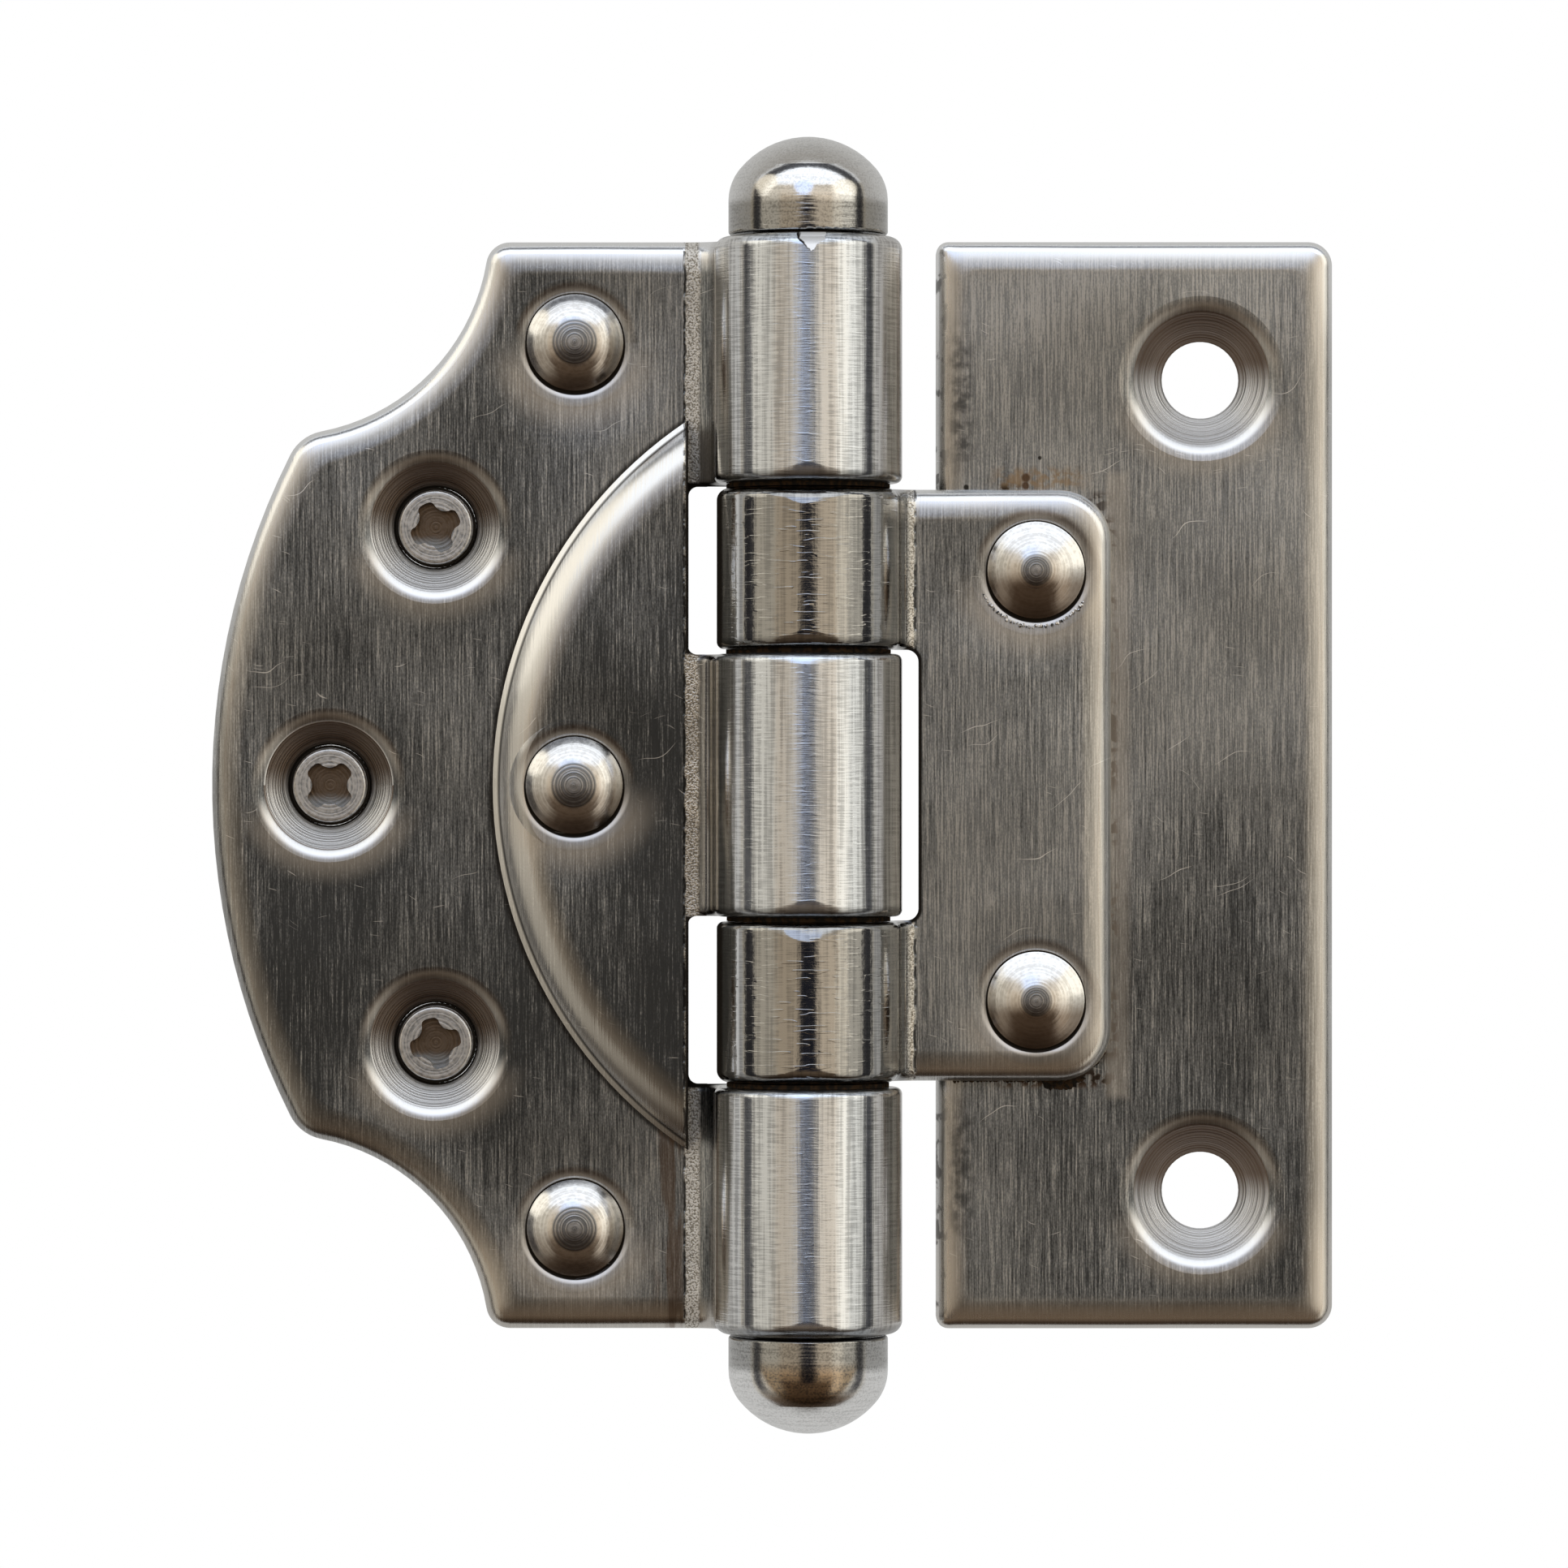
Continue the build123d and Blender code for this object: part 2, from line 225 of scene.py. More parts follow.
table_dark = (0.045, 0.03, 0.02)
table_brown = (0.16, 0.115, 0.078)
wall_left = (0.58, 0.485, 0.37)
wall_right = (0.83, 0.71, 0.56)
wall_beige = (0.68, 0.61, 0.51)
tent_white = (1.22, 1.28, 1.37)
side_left = (0.62, 0.57, 0.48)
side_right = (0.66, 0.63, 0.56)
stripe_right = (1.15, 1.06, 0.9)
behind_grey = (0.38, 0.38, 0.37)
camera_dark = (0.018, 0.02, 0.03)

light = room.mix(table_dark, table_brown, room.ramp(elevation, -75.0, -30.0))
walls = room.mix(wall_left, wall_right, right)
light = room.mix(light, walls, room.ramp(elevation, -24.0, -6.0))
light = room.mix(light, wall_beige, room.ramp(elevation, 8.0, 18.0))
level = room.ramp(elevation, -55.0, -25.0) * (1 - room.ramp(elevation, 35.0, 50.0))
sides = room.mix(side_left, side_right, right)
light = room.mix(light, sides, room.ramp(abs(azimuth), 36.0, 48.0) * level)
stripe = room.ramp(azimuth, 33.0, 40.0) * (1 - room.ramp(azimuth, 48.0, 54.0))
light = room.mix(light, stripe_right, stripe * level)
light = room.mix(light, tent_white, room.ramp(elevation, 24.0, 33.0))
beyond = room.ramp(off_front, 89.0, 94.0)
light = room.mix(light, behind_grey, beyond)
slot = room.ramp(off_front, 71.0, 74.0) * (1 - room.ramp(off_front, 86.0, 89.0))
light = room.mix(light, camera_dark, slot * room.ramp(elevation, -55.0, -25.0) * 0.95)
for lamp_azimuth, lamp_elevation, radius, colour in [
    (-70.0, 29.0, 17.0, (1.24, 1.17, 1.02)),
    (59.0, 21.0, 17.0, (1.3, 1.24, 1.1)),
    (-7.0, 25.0, 13.0, (0.92, 1.06, 1.38)),
]:
    a, e = math.radians(lamp_azimuth), math.radians(lamp_elevation)
    aim = (math.sin(a) * math.cos(e), -math.cos(a) * math.cos(e), math.sin(e))
    facing = room.add("ShaderNodeVectorMath", {"operation": "DOT_PRODUCT"}, {0: direction, 1: aim}, out=1)
    low, high = (math.cos(math.radians(radius + spread)) for spread in (2.0, -2.0))
    light = room.mix(light, colour, room.ramp(facing, low, high))
shade = room.length(azimuth / 14.0, (elevation + 9.0) / 17.0)
light = room.mix(light, camera_dark, 1 - room.ramp(shade, 0.7, 1.15))

rays = room.add("ShaderNodeLightPath").socket.node
kinds = ("Is Camera Ray", "Is Transmission Ray", "Is Glossy Ray")
seen, through, mirrored = (Wire(room, rays.outputs[kind]) for kind in kinds)
seen_white = room.math("MAXIMUM", room.math("MAXIMUM", seen, through), mirrored * beyond * 0.3)
light = room.mix(light, (1.0, 1.0, 1.0), seen_white)
glow = room.add("ShaderNodeBackground", None, {"Color": light, "Strength": 1.0})
room.add("ShaderNodeOutputWorld", None, {"Surface": glow})
print("studio nodes:", len(world.node_tree.nodes))

# %% [markdown]
# ## Camera and floor
# The camera looks square at the hinge from the front. It stands a little under half a metre off, so that
# the sides of the barrel hardly show. A small pale floor lies below the picture: it takes a soft shadow
# in the other views.

# %% Camera and floor
view = bpy.context.scene.view_settings
view.view_transform = "Standard"
frame_width = 0.09156
distance = 0.45
leaf_front = -0.0022
camera_data = bpy.data.cameras.new("square_front")
camera_data.sensor_width = 36.0
camera_data.lens = camera_data.sensor_width * distance / frame_width
camera = bpy.data.objects.new("square_front", camera_data)
camera.location = (axis_x - 0.0014, leaf_front - distance, 0.00007)
camera.rotation_euler = (math.pi / 2, 0.0, 0.0)
bpy.context.scene.collection.objects.link(camera)
bpy.context.scene.camera = camera

floor_mesh = bpy.data.meshes.new("pale_floor")
floor_r = 0.15
floor_sides = 96
turns = [math.tau * i / floor_sides for i in range(floor_sides)]
ring = [(floor_r * math.cos(t), floor_r * math.sin(t), 0.0) for t in turns]
floor_mesh.from_pydata(ring, [], [list(range(floor_sides))])
floor = bpy.data.objects.new("pale_floor", floor_mesh)
floor.location = (axis_x, 0.0, -0.066)
floor.visible_glossy = False
bpy.context.scene.collection.objects.link(floor)
floor_finish = bpy.data.materials.new("pale_floor")
floor_finish.use_nodes = True
paint = Bench(floor_finish.node_tree)
across = paint.add("ShaderNodeTexCoord", out=3)
span = paint.add("ShaderNodeVectorMath", {"operation": "LENGTH"}, {0: across}, out=1)
matt = paint.add("ShaderNodeBsdfDiffuse", None, {"Color": (0.9, 0.9, 0.9)})
clear = paint.add("ShaderNodeBsdfTransparent")
fade = paint.ramp(span, 0.06, floor_r * 0.98)
ground = paint.add("ShaderNodeMixShader", None, {0: fade, 1: matt, 2: clear})
paint.add("ShaderNodeOutputMaterial", None, {"Surface": ground})
floor_mesh.materials.append(floor_finish)
floor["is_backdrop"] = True
print("lens in mm:", round(camera_data.lens, 1))

# %% [markdown]
# ## Steel finishes
# All the finishes share their ingredients. Brushing leaves long upright streaks. Handling leaves short
# bright scratches that run any way. Tumbling rounds the edges over a couple of millimetres, more than the
# sheared corner itself, so a soft fall of the surface towards each edge is added to the bump. Some shared
# colours also paint light and shade: highlights, pale reflections and shade in gaps and hollows.

# %% Shared ingredients of the finishes
steel_dark = (0.07, 0.074, 0.078)
steel_mid = (0.31, 0.322, 0.33)
steel_light = (0.7, 0.69, 0.67)
steel_bright = (0.9, 0.895, 0.885)
# The beige of rubbed edges, also used as painted pale reflection along lit edges and below rivets.
rub_and_sheen_beige = (0.68, 0.63, 0.565)
# Brown for real stains and rust, and for painted brown shade where surfaces face the table.
stain_and_shade_brown = (0.15, 0.095, 0.058)
halo_brown = (0.36, 0.275, 0.22)
# Near black for grease and smudges, and for painted shade in gaps, cracks, creases and holes.
soot_and_shade = (0.018, 0.015, 0.012)


def start_finish(name):
    """A new material's bench, and the place on the object in millimetres from the pin axis."""
    material = bpy.data.materials.new(name)
    material.use_nodes = True
    bench = Bench(material.node_tree)
    place = bench.add("ShaderNodeTexCoord", out=3)
    parted = bench.add("ShaderNodeSeparateXYZ", None, {0: place}).socket.node
    x, y, z = (Wire(bench, parted.outputs[i]) * 1000.0 for i in range(3))
    return material, bench, x - 1000 * axis_x, y - 1000 * axis_y, z


def scratches(bench, x, z, seed, turn, share, thick=0.07, reach=1.7):
    """Thin bowed strokes: the few cells that are kept of a stretched cell pattern."""
    c, s = math.cos(math.radians(turn)), math.sin(math.radians(turn))
    along = x * c + z * s
    over = z * c - x * s
    bow = bench.noise(x * 0.3 + seed, z * 0.3, 1.0) * 2.2
    cell = bench.vector(along / reach + seed, (over + bow) / thick)
    settings = {"voronoi_dimensions": "2D", "feature": "F1"}
    far = bench.add("ShaderNodeTexVoronoi", settings, {"Vector": cell, "Scale": 1.0, "Randomness": 1.0})
    pick = Wire(bench, far.socket.node.outputs["Color"])
    pick = bench.add("ShaderNodeSeparateColor", None, {0: pick})
    kept = bench.ramp(pick, 1.0 - share, 1.0 - share + 0.0004)
    return kept * (1 - bench.ramp(far, 0.22, 0.5))


def steel(bench, colour, roughness, height, stretch, turn=0.0):
    """A metal shader. The height is in millimetres, stretch and turn describe the grain's shine."""
    bump = bench.add("ShaderNodeBump", None, {"Strength": 1.0, "Distance": 0.001, "Height": height})
    inputs = {
        "Base Color": colour,
        "Metallic": 1.0,
        "Roughness": roughness,
        "Normal": bump,
        "Anisotropic": stretch,
        "Anisotropic Rotation": turn,
    }
    return bench.add("ShaderNodeBsdfPrincipled", None, inputs)


def seen_in_front(bench, y):
    """1 on all that is cut into a plate's front, 0 on its plain back."""
    return 1 - bench.ramp(y, back_face - 0.12, back_face - 0.04)


def dull(bench, colour):
    """A matt shader for grease and deep shadow, without any shine."""
    inputs = {"Base Color": colour, "Metallic": 0.0, "Roughness": 1.0, "Specular IOR Level": 0.0}
    return bench.add("ShaderNodeBsdfPrincipled", None, inputs)


def layer(bench, below, above, factor):
    """One shader over another where the factor is 1."""
    return bench.add("ShaderNodeMixShader", None, {0: factor, 1: below, 2: above})


def finish_with(bench, shader):
    """Hand the shader out as the material's surface."""
    bench.add("ShaderNodeOutputMaterial", None, {"Surface": shader})


print("finish helpers ready")

# %% [markdown]
# ## Brushed plates and rolled knuckles
# Both leaves are cut from sheet that was brushed upright, pressed, tumbled and riveted. A plate's grain,
# its rubbed edges with their painted highlight, the dish round a rivet and the cone of a countersink, both
# with painted light and shade, recur on every part, so one function makes them all from a distance to the
# edge. Painted maps could do it too, but a distance stays sharp at any size. The knuckles were rolled and
# then polished round, so they get a shader of their own with painted reflection bands and painted shade,
# and the sheared end of the sheet shows as a sandy strip at each root, beside a crack painted dark as shade.

# %% Brushed plates and rolled knuckles


def brushed_plate(
    bench, x, y, z, edge, seed, rivet=None, sinks=(), depth=0.4, width=1.9, bright=1.0, dark=0.0
):
    """Plain colour, and colour with wear, painted highlights and painted shade; roughness and height of a
    brushed plate, and its countersinks' distances.
    """
    level_z = abs(z)
    side = bench.math("SIGN", z)
    coarse = bench.noise(x * 9.0 + seed, z * 0.2, 3.0)
    fine = bench.noise(x * 20.0 + seed, z * 1.1, 2.0)
    grain = bench.noise(x * 11.0 + seed, z * 6.0, 1.0)
    streak = coarse * 0.5 + fine * 0.32 + grain * 0.18
    cloud = bench.noise(x * 0.075 + seed, z * 0.055 + seed, 1.0)
    # Random tone, a little lighter towards the top as painted light, less the given dark.
    patch = (bench.noise(x * 0.11 + seed * 3.1, z * 0.045, 2.0) - 0.5) * 0.34 + z * 0.0008 - dark
    wear_and_glint = 1 - bench.ramp(edge, 0.5, 1.25)
    rub_and_sheen = 1 - bench.ramp(edge, 0.6, 2.1)
    height = (bench.ramp(edge, 0.0, width) - 1.0) * depth + cloud * 0.7 + coarse * 0.008
    colour = bench.mix(steel_dark, steel_mid, bench.ramp(streak + patch, 0.32, 0.63))
    colour = bench.mix(colour, steel_light, bench.ramp(streak + patch * 0.5, 0.53, 0.68) * 0.6)
    plain = colour
    under = 1 - bench.ramp(z, 3.0 - half_height, 9.0 - half_height)
    # Rubbed and worn edges: wear, with a painted highlight and reflection scaled by bright, which the callers
    # raise towards the top, and a paler beige along the bottom edge.
    colour = bench.mix(colour, rub_and_sheen_beige, rub_and_sheen * (0.25 + bright * 0.45 + under * 0.45))
    colour = bench.mix(colour, steel_bright, wear_and_glint * bright)
    if rivet:
        off = bench.length(x - rivet[0], level_z - rivet[1])
        rise = z - side * rivet[1]
        low = 1 - bench.ramp(rise, -2.6, 0.6)
        soft = bench.share(off, 2.94, 3.79)
        dished = (bench.ramp(off, 2.9, 6.6) - 1.0) * 0.1 - soft * soft * 0.11
        height = height + dished * seen_in_front(bench, y)
        # Round the rivet: painted pale reflection below, painted shade above, a painted light crescent and a
        # thin brown ring at the top, painted shade and a painted highlight crescent low on the dish, and a
        # painted shadow ring under the head, wider below.
        colour = bench.mix(colour, rub_and_sheen_beige, (1 - bench.ramp(off, 3.3, 5.8)) * low * 0.5)
        above = bench.ramp(rise, 0.5, 3.0)
        colour = bench.mix(colour, steel_dark, (1 - bench.ramp(off, 3.4, 5.2)) * above * 0.15)
        over = bench.ramp(rise, -0.5, 2.0)
        colour = bench.mix(colour, steel_light, (1 - bench.ramp(off, 3.1, 3.4)) * over * 0.6)
        colour = bench.mix(colour, stain_and_shade_brown, (1 - bench.ramp(abs(off - 3.35), 0.05, 0.3)) * over * 0.35)
        colour = bench.mix(colour, steel_dark, (1 - bench.ramp(off, 3.3, 4.0)) * low * 0.3)
        colour = bench.mix(colour, steel_bright, (1 - bench.ramp(off, 3.16, 3.36)) * low * 0.85)
        colour = bench.mix(colour, soot_and_shade, 1 - bench.ramp(off - low * 0.16, 2.88, 2.94))
    cone = inside = nearest = None
    for sink in sinks:
        off = bench.length(x - sink[0], level_z - sink[1])
        rise = z - side * sink[1]
        ring = off - sink[2]
        # Round each countersink: painted brown shade and a painted highlight on the upper side, a painted
        # pale reflection and a bright painted highlight on the lower lip.
        outside = bench.ramp(ring, -0.1, 0.08)
        halo = outside * (1 - bench.ramp(ring, 0.2, 0.9)) * bench.ramp(rise, -1.0, 2.5)
        colour = bench.mix(colour, halo_brown, halo * 0.3)
        upper = outside * (1 - bench.ramp(ring, 0.3, 0.6)) * bench.ramp(rise, 0.0, 2.0)
        colour = bench.mix(colour, steel_light, upper * 0.4)
        below = outside * (1 - bench.ramp(ring, 0.5, 2.3)) * (1 - bench.ramp(rise, -3.2, -0.8))
        colour = bench.mix(colour, rub_and_sheen_beige, below * 0.45)
        lip = outside * (1 - bench.ramp(ring, 0.3, 0.6)) * (1 - bench.ramp(rise, -2.4, -0.4))
        colour = bench.mix(colour, steel_bright, lip)
        inside = ring if cone is None else bench.math("MINIMUM", inside, ring)
        cone = off if cone is None else bench.math("MINIMUM", cone, off)
        nearest = rise if nearest is None else nearest + bench.ramp(-ring, 0.0, 0.1) * (rise - nearest)
    long_marks = scratches(bench, x, z, seed, 24.0, 0.002, thick=0.055, reach=3.0)
    handled = bench.ramp(bench.noise(x * 0.16 + seed, z * 0.12, 1.0), 0.42, 0.6)
    short_marks = scratches(bench, x, z, seed + 7.3, -14.0, 0.007, thick=0.05, reach=0.8) * handled
    colour = bench.mix(colour, steel_bright, bench.math("MAXIMUM", long_marks, short_marks * 0.8) * 0.85)
    roughness = 0.29 + fine * 0.14 - wear_and_glint * 0.12
    return plain, colour, roughness, height, (cone, inside, nearest)


def sunk_cone(bench, sunk, seed, front):
    """Shader of a countersink, with the rings that the cutter left, painted brown shade on its upper half and
    a painted highlight low down, and where it lies.
    """
    off, inside, rise = sunk
    rings = bench.noise(off * 7.0 + seed, 0.3, 3.0)
    lines = bench.noise(off * 15.0 + seed, 0.1, 1.0)
    pale = bench.ramp(rings * 0.5 + lines * 0.5, 0.4, 0.56)
    colour = bench.mix((0.24, 0.235, 0.23), (0.96, 0.96, 0.96), pale)
    # Painted shade: the upper half of the cone is brown. Painted highlight: its lower part is bright.
    colour = bench.mix(colour, stain_and_shade_brown, bench.ramp(rise, -1.0, 1.2) * 0.88)
    colour = bench.mix(colour, steel_bright, (1 - bench.ramp(rise, -2.6, -0.8)) * 0.7)
    shader = steel(bench, colour, 0.42, rings * 0.05, 0.0)
    return shader, (1 - bench.ramp(inside, -0.08, 0.06)) * front


def rolled_barrel(bench, x, y, z, below, above, seed, polished, crowned):
    """Shader of a rolled knuckle with fine lines round it, painted reflection bands and painted shade. Below
    and above it are its eased ends.
    """
    lines = bench.noise(x * 0.9 + seed, z * 12.0, 3.0)
    deep = bench.ramp(bench.noise(x * 0.6 + seed, z * 4.0, 1.0), 0.6, 0.7)
    sand = bench.noise(x * 3.0, z * 3.0 + seed, 2.0, y * 3.0)
    upright = bench.noise(x * 4.0 + seed, z * 0.1, 2.0, y * 4.0)
    bulge = bench.math("EXPONENT", x * x * -0.45)
    fall = 1 - bench.share(below / (0.5 + bulge * 0.5), 0.0, 1.0)
    rise = 1 - bench.share(above / (0.5 + bulge * crowned * 0.6), 0.0, 1.0)
    eased = fall ** 1.4 * (bulge * -0.2 - 0.1) + rise ** 1.4 * (bulge * crowned * -0.25 - 0.1)
    shaded = (1 - bench.ramp(below, 0.35, 0.75)) * 0.55
    pale = bench.ramp(lines * 0.4 + upright * 0.6, 0.37, 0.58)
    if polished:
        colour = bench.mix((0.3, 0.295, 0.285), (0.46, 0.45, 0.43), pale)
        # Painted highlight: a thin bright line down the polished knuckle. Painted shade darkens its lower
        # rim.
        glint = 1 - bench.ramp(abs(x + 4.12), 0.05, 0.2)
        colour = bench.mix(bench.mix(colour, steel_bright, glint * 0.8), soot_and_shade, shaded)
        height = lines * 0.003 + deep * 0.008 + upright * 0.005 + sand * 0.006 + eased
        shader = steel(bench, colour, 0.07 + sand * 0.07, height, 0.0)
        # Painted shade: the polished knuckle's left edge is matt dark.
        return layer(bench, shader, dull(bench, soot_and_shade), 1 - bench.ramp(x, -5.06, -4.86))
    # Painted reflection: cool bands near the middle, warm ones at the sides and a bluish crown; painted brown
    # shade on both flanks and painted shade at the lower rim.
    warm = bench.mix((0.44, 0.43, 0.41), (0.78, 0.765, 0.735), pale)
    cool = bench.mix((0.46, 0.48, 0.505), (0.8, 0.835, 0.88), pale)
    colour = bench.mix(cool, warm, bench.ramp(abs(x), 2.8, 4.4))
    crown = bench.math("EXPONENT", (x + 0.25) * (x + 0.25) * -1.6)
    colour = bench.mix(colour, (0.82, 0.9, 1.0), crown * (0.6 + sand * 0.7))
    colour = bench.mix(colour, stain_and_shade_brown, (1 - bench.ramp(x, -6.3, -5.0)) * 0.45)
    colour = bench.mix(colour, stain_and_shade_brown, bench.ramp(x, 3.6, 4.2) * 0.2)
    colour = bench.mix(colour, soot_and_shade, shaded)
    height = lines * 0.007 + deep * 0.003 + upright * 0.006 + eased
    return steel(bench, colour, 0.16 + sand * 0.07, height, 0.85, 0.25)


def rolled_end(bench, x, y, z, at, side, seed):
    """The sheared end of the rolled sheet at a knuckle's root: a sandy strip beside a broken crack that is
    painted dark as shade.
    """
    ragged = bench.noise(z * 0.9 + seed, 0.2, 3.0)
    near = side * x + (ragged - 0.5) * 0.3
    front = 1 - bench.ramp(y, 4.2, 4.6)
    kept = 0.75 + bench.ramp(bench.noise(z * 0.22 + seed, 0.7, 1.0), 0.4, 0.6) * 0.25
    strip = bench.ramp(near, at - 0.95, at - 0.7) * (1 - bench.ramp(near, at - 0.12, at + 0.02))
    strip = strip * front * kept
    # Painted shade in the crack: a dark line.
    crack = (1 - bench.ramp(abs(near - at - 0.03), 0.02, 0.08)) * front * bench.ramp(ragged, 0.4, 0.56)
    grit = bench.noise(x * 9.0, z * 9.0 + seed, 1.0, y * 9.0)
    sandy = bench.mix((0.3, 0.27, 0.22), (0.86, 0.82, 0.75), bench.ramp(grit, 0.38, 0.56))
    return strip, crack, grit, sandy


print("plate and barrel finishes ready")

# %% [markdown]
# ## The scalloped door leaf
# The leaf's outline is a belly between two hollow scallops. Its worn rim, with a painted highlight that grows
# towards the top, follows that outline, so the distance to the edge is the smooth least of three distances:
# to the belly's arc, to the scallop's arc and to the level ends. Reading the edge from the mesh would be the
# other way, but arcs are exact. A chip in the top knuckle's rim shows bright metal with painted shade at one
# side, and a painted shadow lies in the seam along the half-round plate. Painted shade also darkens the cut
# edge beside the windows and the screw bores, and a matt brown paints the light on the root below the top
# knuckle.

# %% The scalloped door leaf
root_brown = (0.2, 0.175, 0.14)
leaf_finish, bench, x, y, z = start_finish("leaf_steel")
level_z = abs(z)
belly = belly_r - bench.length(x - belly_x, z)
scallop = bench.length(x - scallop_x, level_z - scallop_z) - scallop_r
edge = bench.math("SMOOTH_MIN", bench.math("SMOOTH_MIN", belly, scallop, 1.6), half_height - level_z, 1.2)
# Painted highlight: the worn edges shine more towards the top.
lit = 0.12 + bench.ramp(z, 0.0, 22.0) * 0.88
dark = 0.02 + (1 - bench.ramp(abs(z + 8.0), 4.0, 14.0)) * 0.05 - (1 - bench.ramp(z, -26.0, -17.0)) * 0.09
leaf = brushed_plate(bench, x, y, z, edge, 3.7, leaf_rivets[0], star_screws, bright=lit, dark=dark)
plain, colour, roughness, height, sunk = leaf
under = half_round_r - bench.length(x - half_round_x, z)
# A painted shadow darkens the leaf along the half-round plate's edge.
seam = bench.ramp(under, -0.4, -0.08) * bench.ramp(-x, 7.0, 7.3)
colour = bench.mix(colour, soot_and_shade, seam * 0.8)
strip, crack, grit, sandy = rolled_end(bench, x, y, z, leaf_root, -1.0, 1.9)
colour = bench.mix(bench.mix(colour, sandy, strip * 0.9), soot_and_shade, crack * 0.8)
height = height + strip * grit * 0.05 - crack * 0.06
smeared = bench.ramp(bench.noise(x * 1.2, z * 0.16 + 6.0, 3.0), 0.46, 0.6)
smear = (1 - bench.ramp(abs(x + 8.0), 0.3, 1.3)) * smeared
colour = bench.mix(colour, stain_and_shade_brown, smear * (1 - bench.ramp(z, -22.0, -15.0)) * 0.6)
front = seen_in_front(bench, y)
shader = steel(bench, bench.mix(plain, colour, front), roughness + strip * 0.1, height, 0.5)
shader = layer(bench, shader, dull(bench, sandy), strip * 0.55)
# Painted light: a matt brown on the root fillet below the top knuckle, where the metal would mirror dark.
root_fill_light = bench.ramp(x, -6.5, -6.2) * (1 - bench.ramp(z, 19.5, 22.0)) * bench.ramp(z, 17.0, 17.6) * front
shader = layer(bench, shader, dull(bench, root_brown), root_fill_light * 0.7)
shader = layer(bench, shader, *sunk_cone(bench, sunk, 1.3, front))
# Painted shade darkens the leaf's cut edge beside the windows, and the screw bores.
window = bench.ramp(level_z, middle_half - 0.1, middle_half + 0.1) * (1 - bench.ramp(level_z, 17.6, 17.75))
shader = layer(bench, shader, dull(bench, soot_and_shade), window * bench.ramp(x, -7.22, -7.12) * front)
shader = layer(bench, shader, dull(bench, soot_and_shade), (1 - bench.ramp(sunk[0], 2.44, 2.52)) * front)
upper = bench.ramp(z, -1.0, 1.0)
below = z + half_height - upper * (half_height + end_knuckle_z)
above = half_height - end_knuckle_z - below
on_barrel = 1 - bench.ramp(bench.length(x, y), 5.7, 6.6)
shader = layer(bench, shader, rolled_barrel(bench, x, y, z, below, above, 2.2, False, 0.0), on_barrel)
drop = half_height - 0.4 - z
ragged = (bench.noise(x * 2.6, z * 2.6, 2.0) - 0.5) * 0.9
chip = abs(x - 0.15) / 0.75 + bench.math("MAXIMUM", drop, 0.0) / 0.75 + ragged * 0.5
# Inside the chip, bright raw metal turns to painted shade towards its left side.
chipped = bench.mix(steel_bright, soot_and_shade, bench.ramp(chip - x * 0.3, 0.9, 1.05))
chipped = steel(bench, chipped, 0.45, bench.math("MAXIMUM", drop, -0.1) * 0.42, 0.0)
shader = layer(bench, shader, chipped, (1 - bench.ramp(chip, 1.0, 1.1)) * bench.ramp(-y, 4.4, 4.8))
finish_with(bench, shader)
print("leaf finish nodes:", len(leaf_finish.node_tree.nodes))

# %% [markdown]
# ## The half-round plate
# This plate lies on the leaf and carries the middle knuckle. Its rim is pressed into a soft cushion that
# shines most where it faces up, with a crease at its foot. The cushion is in the part itself, so the finish
# adds only the rub with a painted highlight that grows towards the top, painted shade in the crease and
# painted shade on the cut edge beside the two windows.

# %% The half-round plate
overlay_finish, bench, x, y, z = start_finish("overlay_steel")
edge = half_round_r - bench.length(x - half_round_x, z)
# Painted highlight: the rim shines more towards the top.
lit = 0.3 + bench.ramp(z, -12.0, 10.0) * 0.7
cushion = edge - 1.1
plate = brushed_plate(
    bench, x, y, z, cushion, 11.4, leaf_rivets[1], depth=0.06, width=2.1, bright=lit * 0.8, dark=0.09
)
colour, roughness, height = plate[1:4]
# Painted shade in the crease at the cushion's foot.
crease = 1 - bench.ramp(abs(edge - 0.36), 0.04, 0.13)
colour = bench.mix(colour, soot_and_shade, crease * 0.7)
strip, crack, grit, sandy = rolled_end(bench, x, y, z, leaf_root, -1.0, 5.2)
colour = bench.mix(bench.mix(colour, sandy, strip * 0.9), soot_and_shade, crack * 0.7)
height = height + strip * grit * 0.05 - crack * 0.05
shader = steel(bench, colour, roughness, height, 0.5)
# Painted shade on the cut edge beside the windows.
window = bench.ramp(abs(z), middle_half - 0.1, middle_half + 0.1) * seen_in_front(bench, y)
shader = layer(bench, shader, dull(bench, soot_and_shade), window * bench.ramp(x, -7.2, -7.08))
on_barrel = 1 - bench.ramp(bench.length(x, y), 5.7, 6.6)
barrel = rolled_barrel(bench, x, y, z, z + middle_half, middle_half - z, 6.1, False, 0.3)
finish_with(bench, layer(bench, shader, barrel, on_barrel))
print("half-round finish nodes:", len(overlay_finish.node_tree.nodes))

# %% [markdown]
# ## The mounting plate
# The plain frame leaf has two countersunk holes and shows most of the hinge's age: specks of rust above
# the strap, dark dirt in the strap's seam, and smudges down the edge beside the barrel. Each mark is a
# mask that is bound to the strap's outline or to a place, and broken up by one speckle noise, so that the
# marks belong together.

